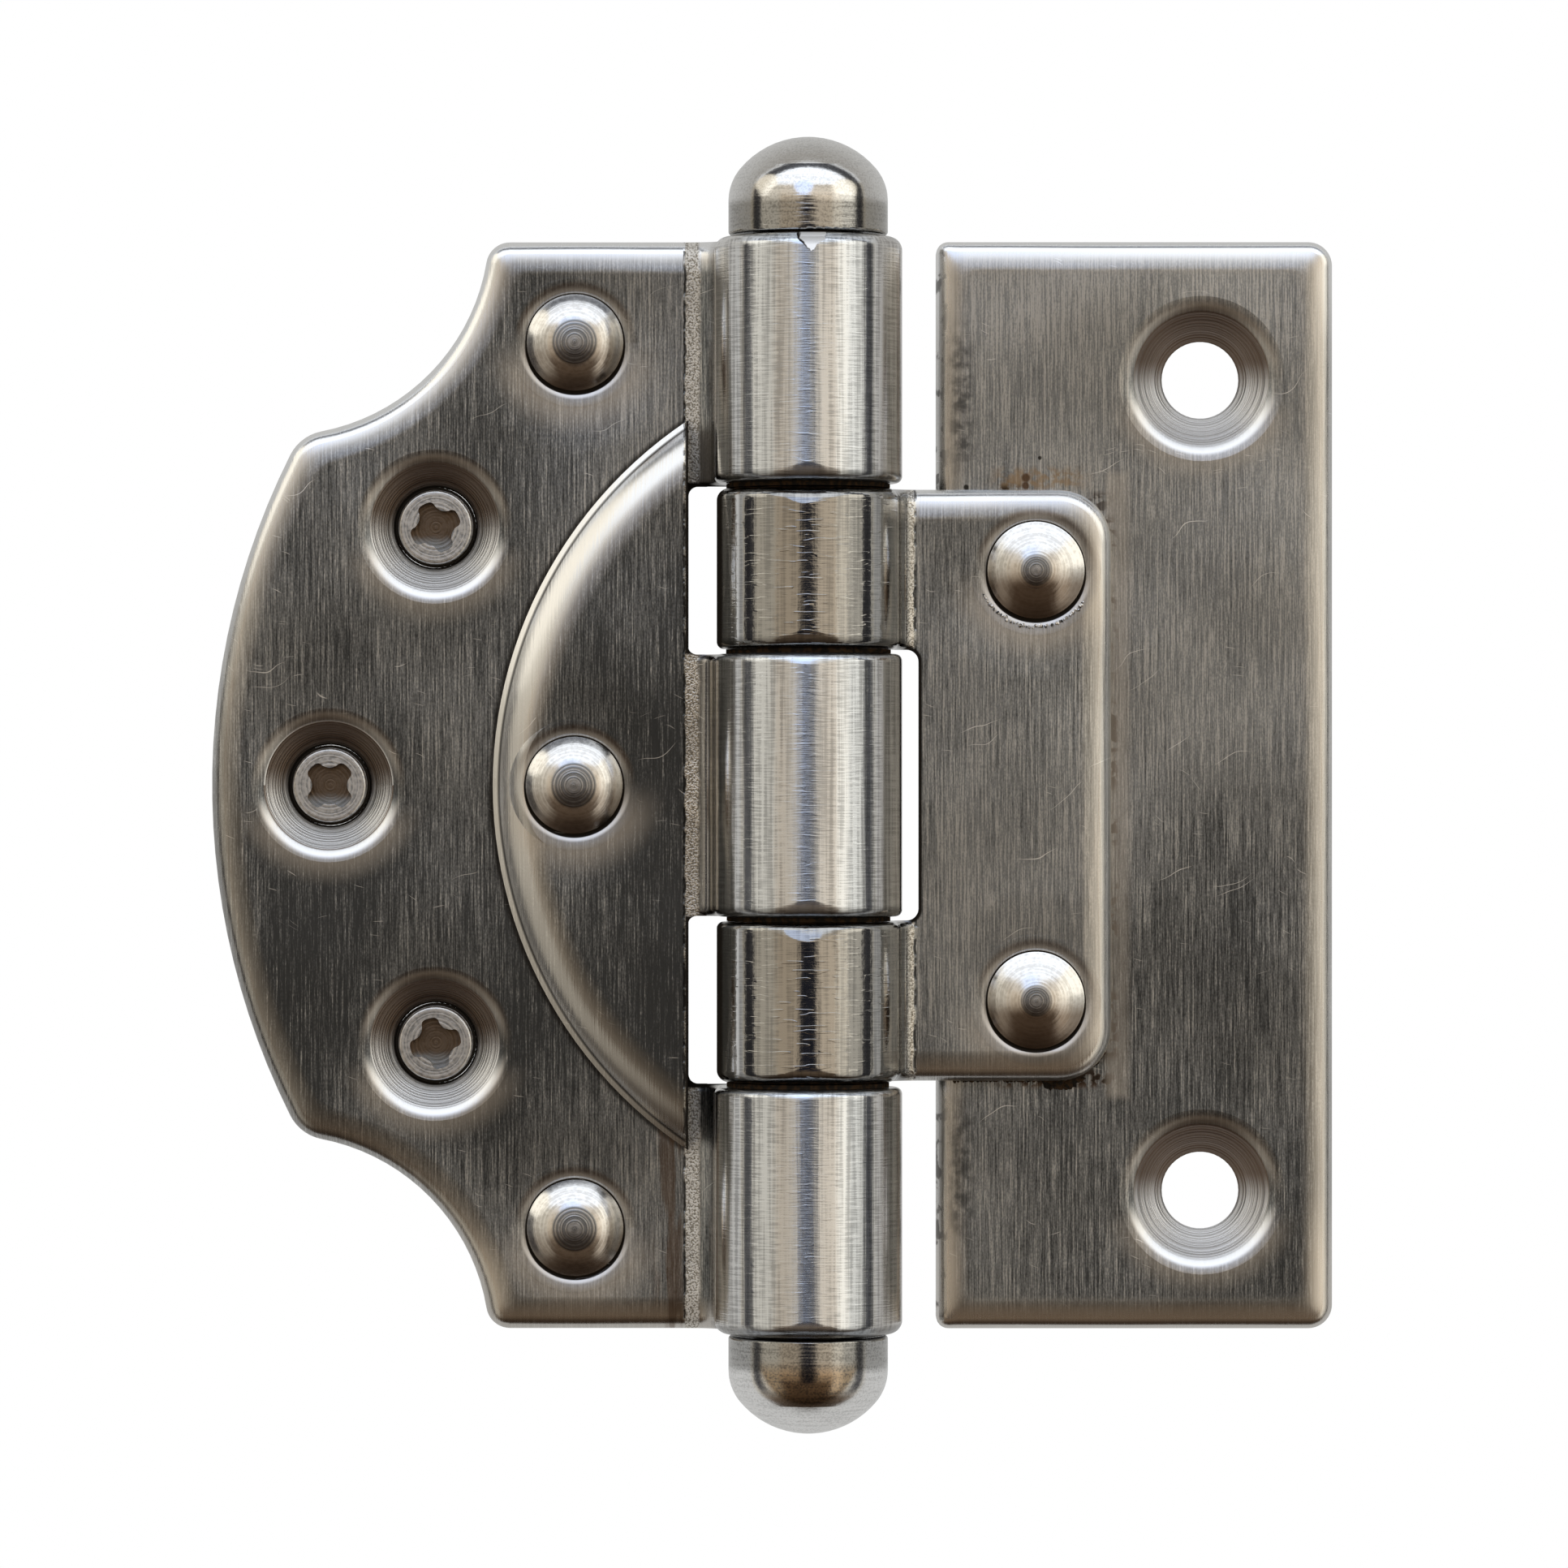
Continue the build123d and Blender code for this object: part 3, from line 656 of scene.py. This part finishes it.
# %% The mounting plate
rust_brown = (0.11, 0.062, 0.032)
rust_bloom = (0.36, 0.25, 0.14)
plate_spots = [
    (9.24, 17.4, 0.2, soot_and_shade),
    (12.72, 17.95, 0.34, rust_brown),
    (12.7, 17.5, 0.26, rust_brown),
    (13.53, 19.1, 0.14, soot_and_shade),
]
plate_finish, bench, x, y, z = start_finish("plate_steel")
level_z = abs(z)
sides = bench.math("SMOOTH_MIN", x - plate_near, plate_far - x, 0.5)
edge = bench.math("SMOOTH_MIN", sides, half_height - level_z, 1.2)
# Painted highlight on the top edge, and a tone painted lighter towards the top and darker towards the bottom.
lit = 0.35 + bench.ramp(z, 24.0, 31.0) * 0.65
darker = -0.06 - z * 0.0026
plate = brushed_plate(
    bench, x, y, z, edge, 19.2, None, [screw_hole], depth=0.34, width=1.7, bright=lit, dark=darker
)
plain, colour, roughness, height, sunk = plate
strap_side = bench.math("MAXIMUM", x - strap_far, level_z - strap_half)
speck = bench.noise(x * 1.6, z * 1.6, 3.0)
stretch = bench.ramp(bench.noise(x * 0.2, z * 0.3 + 4.0, 1.0), 0.44, 0.6)
rust = (1 - bench.ramp(strap_side, 0.2, 0.65)) * bench.ramp(speck, 0.42, 0.58) * bench.ramp(x, 9.5, 11.0)
colour = bench.mix(colour, rust_brown, rust * stretch * 0.8)
along_strap = bench.ramp(x, 10.2, 12.0) * (1 - bench.ramp(x, 15.0, 17.0))
bloom = (1 - bench.ramp(abs(z - 17.9), 0.25, 0.9)) * along_strap
colour = bench.mix(colour, rust_bloom, bloom * bench.ramp(speck, 0.36, 0.6) * 0.7)
grime = (1 - bench.ramp(strap_side, 0.05, 0.5)) * bench.ramp(speck, 0.46, 0.58) * stretch
colour = bench.mix(colour, soot_and_shade, grime * 0.8)
for spot_x, spot_z, spot_r, tone in plate_spots:
    off = bench.length(x - spot_x, z - spot_z)
    colour = bench.mix(colour, tone, (1 - bench.ramp(off + speck * 0.2 - 0.1, spot_r * 0.5, spot_r)) * 0.9)
shaded = (1 - bench.ramp(abs(x - 9.0), 0.2, 1.1)) * bench.ramp(level_z, 17.5, 20.0)
shaded = shaded * (1 - bench.ramp(level_z, 24.5, 28.0)) * bench.ramp(speck, 0.25, 0.7)
colour = bench.mix(colour, steel_dark, shaded * 0.75)
# Painted reflection: a pale beige strip along the strap's right side.
strap_side_sheen = (1 - bench.ramp(strap_side, 0.7, 1.4)) * bench.ramp(x, strap_far - 0.5, strap_far) * 0.35
colour = bench.mix(colour, rub_and_sheen_beige, strap_side_sheen)
beside = 1 - bench.ramp(x, plate_near + 0.1, plate_near + 0.9)
smudge = beside * bench.ramp(bench.noise(x * 1.8, z * 0.9, 3.0), 0.56, 0.66)
colour = bench.mix(colour, soot_and_shade, smudge * 0.6)
front = seen_in_front(bench, y)
shader = steel(bench, bench.mix(plain, colour, front), roughness + smudge * front * 0.2, height, 0.5)
shader = layer(bench, shader, *sunk_cone(bench, sunk, 4.6, front))
finish_with(bench, shader)
print("plate finish nodes:", len(plate_finish.node_tree.nodes))

# %% [markdown]
# ## The knuckle strap
# The strap is a short plate with two round corners, and its two knuckles are polished brighter than the
# others, so they mirror the room in hard bands. The distance to its edge is that of a rounded box. The
# cut in its side, where the middle knuckle turns, is painted dark as shade.

# %% The knuckle strap
strap_finish, bench, x, y, z = start_finish("strap_steel")
level_z = abs(z)
corner_x = bench.math("MAXIMUM", x - (strap_far - strap_corner), 0.0)
corner_z = bench.math("MAXIMUM", level_z - (strap_half - strap_corner), 0.0)
inner = bench.math("MAXIMUM", x - (strap_far - strap_corner), level_z - (strap_half - strap_corner))
inner = bench.math("MINIMUM", inner, 0.0)
edge = strap_corner - (bench.length(corner_x, corner_z) + inner)
# Painted highlight: the worn edges shine more towards the top.
lit = 0.35 + bench.ramp(z, 8.0, 15.0) * 0.65
plate = brushed_plate(bench, x, y, z, edge, 27.5, strap_rivet, depth=0.36, width=1.8, bright=lit, dark=-0.08)
colour, roughness, height = plate[1:4]
strip, crack, grit, sandy = rolled_end(bench, x, y, z, strap_root, 1.0, 8.4)
colour = bench.mix(bench.mix(colour, sandy, strip * 0.9), soot_and_shade, crack * 0.7)
height = height + strip * grit * 0.05 - crack * 0.05
shader = steel(bench, colour, roughness, height, 0.5)
# Painted shade darkens the cut where the middle knuckle turns.
beside = bench.math("MAXIMUM", x - 5.75, 0.0)
above = bench.math("MAXIMUM", level_z - (middle_half - 0.4), 0.0)
cut = 1 - bench.ramp(bench.length(beside, above), 0.8, 0.95)
shader = layer(bench, shader, dull(bench, soot_and_shade), cut * seen_in_front(bench, y))
on_barrel = 1 - bench.ramp(bench.length(x, y), 5.6, 6.2)
below = z + strap_half - bench.ramp(z, -1.0, 1.0) * (strap_half + middle_half + knuckle_gap)
above = strap_half - middle_half - knuckle_gap - below
barrel = rolled_barrel(bench, x, y, z, below, above, 9.3, True, 1.0)
finish_with(bench, layer(bench, shader, barrel, on_barrel))
print("strap finish nodes:", len(strap_finish.node_tree.nodes))

# %% [markdown]
# ## Pin, rivets and star screws
# These parts came off a lathe, so their marks are rings: level ones on the pin and its cap, and rings
# about an axis out of the front on the rivets and screws. A ring pattern is noise read along one distance
# only. The lower halves of the rivets face the table and take a painted brown shade, and the domes and
# the star recesses carry painted light and shade as well.

# %% Pin, rivets and star screws


def turned_finish(name, seed, base_roughness):
    """Turned steel with fine level lines, for the pin and its cap, with painted light and shade on the domes.
    Between the knuckles it is dark with grease and painted shade.
    """
    material, bench, x, y, z = start_finish(name)
    lines = bench.noise(x * 0.4 + seed, z * 7.0, 2.0, y * 0.4)
    sand = bench.noise(x * 8.0, z * 8.0 + seed, 2.0, y * 8.0)
    # Painted shade: below collar height the foot of each dome and the pin are darker than the dome top.
    collar = 1 - bench.ramp(abs(z), 33.4, 34.0)
    speckle = bench.ramp(lines * 0.4 + sand * 0.6, 0.35, 0.58)
    dome = bench.mix((0.68, 0.675, 0.665), (0.92, 0.915, 0.905), speckle)
    colour = bench.mix(dome, bench.mix((0.26, 0.255, 0.245), (0.46, 0.455, 0.44), speckle), collar)
    # Painted brown shade on the outer band of the upper dome.
    round_x = bench.length(x, bench.math("MAXIMUM", abs(z) - half_height - 1.0, 0.0))
    outer = bench.ramp(round_x, 2.7, 3.2) * (1 - bench.ramp(round_x, 3.3, 4.7) * 0.65)
    colour = bench.mix(colour, (0.3, 0.265, 0.21), outer * bench.ramp(z, -1.0, 1.0) * (0.25 + lines * 0.6))
    # Painted brown shade under the lower cap, which faces the table.
    under = bench.ramp(-z, half_height + 1.2, half_height + 2.2) * (1 - bench.ramp(round_x, 2.7, 3.1))
    colour = bench.mix(colour, bench.mix((0.1, 0.07, 0.045), (0.34, 0.23, 0.12), speckle), under * 0.85)
    # Dark grease and painted shade on the pin between the knuckles, and a painted shadow at the foot of each
    # dome.
    colour = bench.mix(soot_and_shade, colour, bench.ramp(abs(z), half_height + 0.1, half_height + 0.25))
    height = lines * (0.002 + 0.016 * collar) + sand * 0.002
    finish_with(bench, steel(bench, colour, base_roughness + sand * 0.06, height, 0.0))
    return material


def ringed_finish(name, centres, nose_r, low_shade, seed):
    """Steel turned about axes that point out of the front: rivet heads, with painted brown shade on their
    lower halves.
    """
    material, bench, x, y, z = start_finish(name)
    side = bench.math("SIGN", z)
    off = rise = None
    for centre in centres:
        far = bench.length(x - centre[0], abs(z) - centre[1])
        step = z - side * centre[1]
        rise = step if rise is None else rise + bench.ramp(far, 3.2, 3.0) * (step - rise)
        off = far if off is None else bench.math("MINIMUM", off, far)
    rings = bench.noise(off * 9.0 + seed, 0.7, 2.0)
    sand = bench.noise(x * 4.0, z * 4.0 + seed, 2.0, y * 4.0)
    front = seen_in_front(bench, y)
    nose = (1 - bench.ramp(off, nose_r - 0.05, nose_r + 0.08)) * front
    height = rings * (0.004 + 0.006 * nose) + sand * 0.003
    pale = bench.ramp(rings * 0.5 + sand * 0.5, 0.36, 0.6)
    colour = bench.mix((0.65, 0.635, 0.61), (0.88, 0.87, 0.85), pale)
    colour = bench.mix(colour, steel_mid, nose * (0.3 + bench.ramp(rings, 0.36, 0.56) * 0.7))
    # Painted shade: brown on the lower half of the head, and darker on the nose's lower part.
    colour = bench.mix(colour, stain_and_shade_brown, bench.ramp(rise, 0.5, -1.0) * front * low_shade)
    colour = bench.mix(colour, soot_and_shade, bench.ramp(rise + sand * 0.3, 0.2, -0.7) * nose * 0.55)
    finish_with(bench, steel(bench, colour, 0.15 + sand * 0.08 + nose * 0.12, height, 0.0))
    return material


def star_recess_finish(name, centres, seed):
    """The sunk screws: a turned grey face round a star recess painted dark as shade, whose floor has a
    painted shine low down.
    """
    material, bench, x, y, z = start_finish(name)
    side = bench.math("SIGN", z)
    off = rise = None
    for centre in centres:
        far = bench.length(x - centre[0], abs(z) - centre[1])
        step = z - side * centre[1]
        rise = step if rise is None else rise + bench.ramp(far, 2.6, 2.4) * (step - rise)
        off = far if off is None else bench.math("MINIMUM", off, far)
    rings = bench.noise(off * 8.0 + seed, 0.2, 2.0)
    sand = bench.noise(x * 4.0, z * 4.0 + seed, 2.0, y * 4.0)
    colour = bench.mix(steel_mid, steel_light, bench.ramp(rings * 0.6 + sand * 0.4, 0.34, 0.58))
    front = seen_in_front(bench, y)
    # Painted shade fills the star recess; a painted shine lies on its floor low down.
    deep = bench.ramp(y, 4.36, 4.6) * (1 - bench.ramp(off, 1.55, 1.62)) * front
    floor_low = 1 - bench.ramp(rise + sand * 0.4, -0.8, -0.2)
    colour = bench.mix(colour, bench.mix((0.13, 0.08, 0.04), steel_mid, floor_low), deep * 0.9)
    shader = steel(bench, colour, 0.28 + sand * 0.12, rings * 0.012 + sand * 0.004, 0.0)
    # Painted shade in the gap round the screw head.
    finish_with(bench, layer(bench, shader, dull(bench, soot_and_shade), bench.ramp(off, 2.165, 2.2) * front))
    return material


pin_finish = turned_finish("pin_steel", 4.4, 0.1)
cap_finish = turned_finish("cap_steel", 7.9, 0.14)
leaf_rivet_finish = ringed_finish("leaf_rivet_steel", leaf_rivets, 1.3, 0.6, 1.0)
strap_rivet_finish = ringed_finish("strap_rivet_steel", [strap_rivet], 0.9, 0.8, 2.0)
star_finish = star_recess_finish("star_screw_steel", star_screws, 3.0)
print("turned finishes ready")

# %% [markdown]
# ## Dirt, shade and burr
# Old grease takes up light and has no shine, so it is a matt shader between soot and dark brown. The same
# matt dark also stands in for the shade in the barrel's gaps and under the strap's lower edge. A burr
# is raw metal, torn up by the riveting: it is bright and dark by turns, at the scale of its own lumps.

# %% Dirt, shade and burr finishes
grime_and_shade_finish, bench, x, y, z = start_finish("seam_grime_and_shade")
lump = bench.noise(x * 3.0, z * 3.0, 2.0, y * 3.0)
finish_with(bench, dull(bench, bench.mix(soot_and_shade, (0.045, 0.027, 0.015), bench.ramp(lump, 0.45, 0.6))))
burr_finish, bench, x, y, z = start_finish("rivet_burr")
lump = bench.noise(x * 6.0, z * 6.0, 2.0, y * 6.0)
colour = bench.mix(steel_dark, steel_bright, bench.ramp(lump, 0.4, 0.55))
finish_with(bench, steel(bench, colour, 0.3, lump * 0.02, 0.0))
print("dirt and burr finishes ready")

# %% [markdown]
# ## Turned rivets, set on their seats
# A rivet is a turned part: a head with a low dome, a flatter nose that the riveting set left with rings,
# and a shank that is dressed flush with the leaf's back. One geometry tree turns a section round its
# axis, sets a rivet on each seat with a chance turn, and cuts all shanks at the back plane.

# %% A tree that turns and sets rivets


def start_tree(name, inputs):
    """A geometry tree with the named inputs, and a wire for each of them."""
    tree = bpy.data.node_groups.new(name, "GeometryNodeTree")
    for label, kind in inputs.items():
        tree.interface.new_socket(label, in_out="INPUT", socket_type="NodeSocket" + kind)
    tree.interface.new_socket("Pieces", in_out="OUTPUT", socket_type="NodeSocketGeometry")
    bench = Bench(tree)
    given = bench.add("NodeGroupInput").socket.node
    return tree, bench, {socket.name: Wire(bench, socket) for socket in given.outputs if socket.name}


def end_tree(bench, instances, finish):
    """Turn the instances into real mesh, give them their finish and hand them out."""
    real = bench.add("GeometryNodeRealizeInstances", None, {"Geometry": instances})
    dressed = bench.add("GeometryNodeSetMaterial", None, {"Geometry": real, "Material": finish})
    bench.add("NodeGroupOutput", None, {0: dressed})


def chance_turn(bench, seed):
    """Another turn for each instance, drawn from the seed."""
    limits = {2: 0.0, 3: math.tau, 8: seed}
    return bench.add("FunctionNodeRandomValue", {"data_type": "FLOAT"}, limits, out=1)


rivet_inputs = {"Seats": "Geometry", "Finish": "Material", "Seed": "Int"}
rivet_sizes = ("Head", "Nose", "Shank", "Seat Depth", "Rim", "Dome")
rivet_sizes += ("Nose Rise", "Lean", "Ring Depth", "Back")
rivet_inputs.update({label: "Float" for label in rivet_sizes})
rivet_tree, bench, given = start_tree("turned_rivets", rivet_inputs)
rows, around = 101, 65
index = bench.add("GeometryNodeInputIndex")
row = bench.math("FLOOR", index / around)
angle = (index - row * around) * (math.tau / (around - 1))
along = row / (rows - 1)
front = given["Head"] * bench.share(along, 0.0, 0.7)
radius = front - (given["Head"] - given["Shank"]) * bench.share(along, 0.76, 0.8)
radius = radius - given["Shank"] * bench.share(along, 0.96, 1.0)
fall = bench.share(front, given["Nose"], given["Head"])
nose = 1 - bench.share(front, 0.0, given["Nose"]) ** 2.0
rings = (bench.noise(front * 7000.0, 0.4, 2.0) - 0.5) * given["Ring Depth"] * (0.3 + nose)
top = given["Rim"] + given["Dome"] * (1 - given["Lean"] * fall - (1 - given["Lean"]) * fall * fall)
top = top + given["Nose Rise"] * nose + rings * (1 - bench.share(along, 0.66, 0.7))
deep = (given["Rim"] + given["Seat Depth"]) * bench.share(along, 0.7, 0.76)
deep = deep + 0.008 * bench.share(along, 0.8, 0.96)
spot = bench.vector(radius * bench.math("COSINE", angle), deep - top, radius * bench.math("SINE", angle))
sheet = bench.add("GeometryNodeMeshGrid", None, {"Vertices X": rows, "Vertices Y": around})
turned = bench.add("GeometryNodeSetPosition", None, {"Geometry": sheet, "Position": spot})
chance = chance_turn(bench, given["Seed"])
seats = {"Points": given["Seats"], "Instance": turned, "Rotation": bench.vector(0.0, chance, 0.0)}
set_out = bench.add("GeometryNodeInstanceOnPoints", None, seats)
placed = bench.add("GeometryNodeRealizeInstances", None, {0: set_out})
parted = bench.add("ShaderNodeSeparateXYZ", None, {0: bench.add("GeometryNodeInputPosition")}).socket.node
flush = bench.math("MINIMUM", Wire(bench, parted.outputs[1]), given["Back"])
cut = bench.vector(Wire(bench, parted.outputs[0]), flush, Wire(bench, parted.outputs[2]))
dressed = bench.add("GeometryNodeSetPosition", None, {"Geometry": placed, "Position": cut})
closed = bench.add("GeometryNodeMergeByDistance", None, {"Geometry": dressed, "Distance": 2e-7})
end_tree(bench, closed, given["Finish"])
print("rivet tree nodes:", len(rivet_tree.nodes))

# %% [markdown]
# ## From tree to plain mesh
# A tree lives in a modifier, and its result has to become a plain mesh before it can ride on a body. So a
# small object carries the points or the path, the tree runs on it, and the evaluated mesh replaces them.
# The check for open edges shows that each shape is closed.

# %% Run a tree and keep its mesh


def place(x, y, z):
    """A point in metres from millimetres about the pin axis."""
    return (axis_x + x / 1000, axis_y + y / 1000, z / 1000)


def made_by(tree, name, points, edges, values, smooth):
    """A plain mesh object from a tree's work on the points and edges."""
    mesh = bpy.data.meshes.new(name)
    mesh.from_pydata(points, edges, [])
    piece = bpy.data.objects.new(name, mesh)
    bpy.context.scene.collection.objects.link(piece)
    work = piece.modifiers.new(name, "NODES")
    work.node_group = tree
    for item in tree.interface.items_tree:
        if item.in_out == "INPUT" and item.name in values:
            work[item.identifier] = values[item.name]
    evaluated = piece.evaluated_get(bpy.context.evaluated_depsgraph_get())
    piece.data = bpy.data.meshes.new_from_object(evaluated)
    piece.modifiers.remove(work)
    shape = bmesh.new()
    shape.from_mesh(piece.data)
    bmesh.ops.dissolve_degenerate(shape, dist=1e-7, edges=shape.edges)
    bmesh.ops.recalc_face_normals(shape, faces=shape.faces)
    loose = sum(not edge.is_manifold for edge in shape.edges)
    shape.to_mesh(piece.data)
    shape.free()
    piece.data.polygons.foreach_set("use_smooth", [smooth] * len(piece.data.polygons))
    if smooth:
        piece.data.set_sharp_from_angle(angle=math.radians(35))
    print(name, "faces:", len(piece.data.polygons), "open edges:", loose)
    return piece


rivet_size = {"Head": 0.00282, "Shank": 0.0016, "Seat Depth": 0.00022, "Rim": 0.00008, "Dome": 0.00085}
rivet_size.update({"Ring Depth": 0.000014, "Back": 0.0})
(end_x, end_z), (centre_x, centre_z) = leaf_rivets
leaf_seats = [
    place(end_x, base_face, end_z),
    place(centre_x, raised_face, centre_z),
    place(end_x, base_face, -end_z),
]
broad_nose = {"Nose": 0.00125, "Nose Rise": 0.00007, "Lean": 0.37}
values = {**rivet_size, **broad_nose, "Seed": 3, "Finish": leaf_rivet_finish}
leaf_rivet_set = made_by(rivet_tree, "leaf_rivet_set", leaf_seats, [], values, True)
strap_seats = [place(strap_rivet[0], raised_face, side * strap_rivet[1]) for side in (1, -1)]
narrow_nose = {"Nose": 0.00085, "Nose Rise": 0.00003, "Lean": 0.5}
values = {**rivet_size, **narrow_nose, "Seed": 8, "Finish": strap_rivet_finish}
strap_rivet_set = made_by(rivet_tree, "strap_rivet_set", strap_seats, [], values, True)
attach(leaf_rivet_set, "door_leaf")
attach(strap_rivet_set, "frame_leaf")
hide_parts(*[name for name in nodes if name.startswith("leaf_rivet")])
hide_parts(*[name for name in nodes if name.startswith("strap_rivet")])

# %% [markdown]
# ## Grime and shadow in the seam, and burr round a rivet
# Grease and dust gather where the strap meets the plate, most of all under its lower corner, and the
# line of dark lumps along the strap's lower edge also stands in for the shadow under that edge. The
# riveting raised a broken burr below the upper strap rivet. Both are small lumps along a path, so one
# tree strews squashed lumps along any path, with a fixed seed.

# %% Strew lumps along paths
crumb_inputs = {"Path": "Geometry", "Finish": "Material", "Count": "Int", "Seed": "Int"}
crumb_inputs.update({"Size": "Float", "Spread": "Float"})
crumb_tree, bench, given = start_tree("strewn_crumbs", crumb_inputs)
curve = bench.add("GeometryNodeMeshToCurve", None, {"Mesh": given["Path"]})
points = bench.add("GeometryNodeCurveToPoints", {"mode": "COUNT"}, {"Curve": curve, "Count": given["Count"]})
reach = bench.vector(given["Spread"], 0.0, given["Spread"])
back = bench.vector(given["Spread"] * -1.0, 0.0, given["Spread"] * -1.0)
stray_range = {0: back, 1: reach, 8: given["Seed"]}
stray = bench.add("FunctionNodeRandomValue", {"data_type": "FLOAT_VECTOR"}, stray_range)
points = bench.add("GeometryNodeSetPosition", None, {"Geometry": points, "Offset": stray})
lump = bench.add("GeometryNodeMeshIcoSphere", None, {"Radius": given["Size"], "Subdivisions": 1})
shape_seed = {0: (0.35, 0.3, 0.35), 1: (1.2, 0.6, 1.2), 8: given["Seed"] + 1}
squash = bench.add("FunctionNodeRandomValue", {"data_type": "FLOAT_VECTOR"}, shape_seed)
twist = chance_turn(bench, given["Seed"] + 2)
strewn = {"Points": points, "Instance": lump, "Scale": squash, "Rotation": bench.vector(0.0, twist, 0.0)}
end_tree(bench, bench.add("GeometryNodeInstanceOnPoints", None, strewn), given["Finish"])


def path_of(points, face):
    """Points of a path on a face, and the edges that join them."""
    return [place(x, face, z) for x, z in points], [(i, i + 1) for i in range(len(points) - 1)]


corner = (strap_far - strap_corner, -strap_half + strap_corner)
bend_turns = (0.2, 0.5, 0.8, 1.1)
bend_x = [corner[0] + strap_corner * math.sin(t) for t in bend_turns]
bend_z = [corner[1] - strap_corner * math.cos(t) for t in bend_turns]
seam = [(8.6, -strap_half - 0.02), (13.0, -strap_half - 0.02), *zip(bend_x, bend_z)]
values = {"Count": 90, "Seed": 5, "Size": 0.00015, "Spread": 0.00006, "Finish": grime_and_shade_finish}
# Grime crumbs along the strap's lower edge, which also stand in for the shadow under that edge.
seam_grime_and_shade = made_by(crumb_tree, "seam_grime_and_shade", *path_of(seam, base_face), values, False)
lumps = [(13.9, -17.45), (14.8, -17.5), (15.5, -17.25), (16.1, -16.9)]
values = {"Count": 60, "Seed": 9, "Size": 0.00026, "Spread": 0.00018, "Finish": grime_and_shade_finish}
corner_grime = made_by(crumb_tree, "corner_grime", *path_of(lumps, base_face), values, False)
turn = [math.radians(205 + 12 * i) for i in range(11)]
burr_r = 3.3
ring = [(strap_rivet[0] + burr_r * math.cos(t), strap_rivet[1] + burr_r * math.sin(t)) for t in turn]
values = {"Count": 46, "Seed": 14, "Size": 0.00011, "Spread": 0.00007, "Finish": burr_finish}
rivet_burr = made_by(crumb_tree, "rivet_burr", *path_of(ring, raised_face), values, False)
crumb_slots = [(seam_grime_and_shade, "plate_steel"), (corner_grime, "plate_steel"), (rivet_burr, "strap_steel")]
for piece, slot_name in crumb_slots:
    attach(piece, "frame_leaf")

# %% [markdown]
# ## Grease and shade between the knuckles
# Oil and dust have worked out of the bores, and a matt dark line in the four narrow gaps of the barrel
# stands for that grease and also for the shade in the gaps. It is a thin ring round the pin with an uneven
# rim. One tree bends a strip of mesh into the ring and sets it in each gap with a chance turn.

# %% A tree that sets grease and shade rings
ring_inputs = {"Gaps": "Geometry", "Finish": "Material", "Seed": "Int"}
ring_inputs.update({label: "Float" for label in ("Inner", "Outer", "Height")})
grease_shade_tree, bench, given = start_tree("grease_shade_rings", ring_inputs)
rows, around = 5, 97
index = bench.add("GeometryNodeInputIndex")
row = bench.math("FLOOR", index / around)
angle = (index - row * around) * (math.tau / (around - 1))
turn_x, turn_y = bench.math("COSINE", angle), bench.math("SINE", angle)
uneven = (bench.noise(turn_x * 4.0, turn_y * 4.0, 2.0) - 0.5) * 0.12 + 1.0
outwards = bench.share(row, 0.0, 1.0) - bench.share(row, 2.0, 3.0)
upwards = bench.share(row, 1.0, 2.0) - bench.share(row, 3.0, 4.0) - 0.5
radius = given["Inner"] + (given["Outer"] * uneven - given["Inner"]) * outwards
spot = bench.vector(radius * turn_x, radius * turn_y, given["Height"] * upwards)
sheet = bench.add("GeometryNodeMeshGrid", None, {"Vertices X": rows, "Vertices Y": around})
bent = bench.add("GeometryNodeSetPosition", None, {"Geometry": sheet, "Position": spot})
closed = bench.add("GeometryNodeMergeByDistance", None, {"Geometry": bent, "Distance": 2e-7})
chance = chance_turn(bench, given["Seed"])
gaps = {"Points": given["Gaps"], "Instance": closed, "Rotation": bench.vector(0.0, 0.0, chance)}
end_tree(bench, bench.add("GeometryNodeInstanceOnPoints", None, gaps), given["Finish"])
middles = [middle_half + knuckle_gap / 2, strap_half + knuckle_gap / 2]
gap_points = [place(0.0, 0.0, side * middle) for side in (1, -1) for middle in middles]
values = {"Seed": 6, "Inner": 0.00322, "Outer": 0.0047, "Height": 0.00025, "Finish": grime_and_shade_finish}
# A matt dark ring in each gap: grease, and also a stand-in for the shade in the gap.
gap_grease_and_shade = made_by(grease_shade_tree, "gap_grease_and_shade", gap_points, [], values, False)
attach(gap_grease_and_shade, "door_leaf")

# %% [markdown]
# ## Every part gets its finish
# Each part keeps its one material slot and only takes a better material. The rivets that the turned sets
# stand in for are dressed as well, so that they match wherever they are shown.

# %% Give every part its finish
finishes = {
    "scalloped_leaf": leaf_finish,
    "half_round_plate": overlay_finish,
    "mounting_plate": plate_finish,
    "knuckle_strap": strap_finish,
    "hinge_pin": pin_finish,
    "lower_pin_cap": cap_finish,
}
for name, part in nodes.items():
    finish = finishes.get(name)
    if name.startswith("leaf_rivet"):
        finish = leaf_rivet_finish
    if name.startswith("strap_rivet"):
        finish = strap_rivet_finish
    if name.startswith("star_screw"):
        finish = star_finish
    part.material_slots[0].material = finish
print("dressed:", len(nodes))

# %% [markdown]
# ## Measure and finish
# The dressed hinge has to be as large as the parts it came from, so its size is printed in millimetres.

# %% Measure and finish
low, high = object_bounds()
print("size in mm:", [round(1000 * side, 2) for side in high - low])
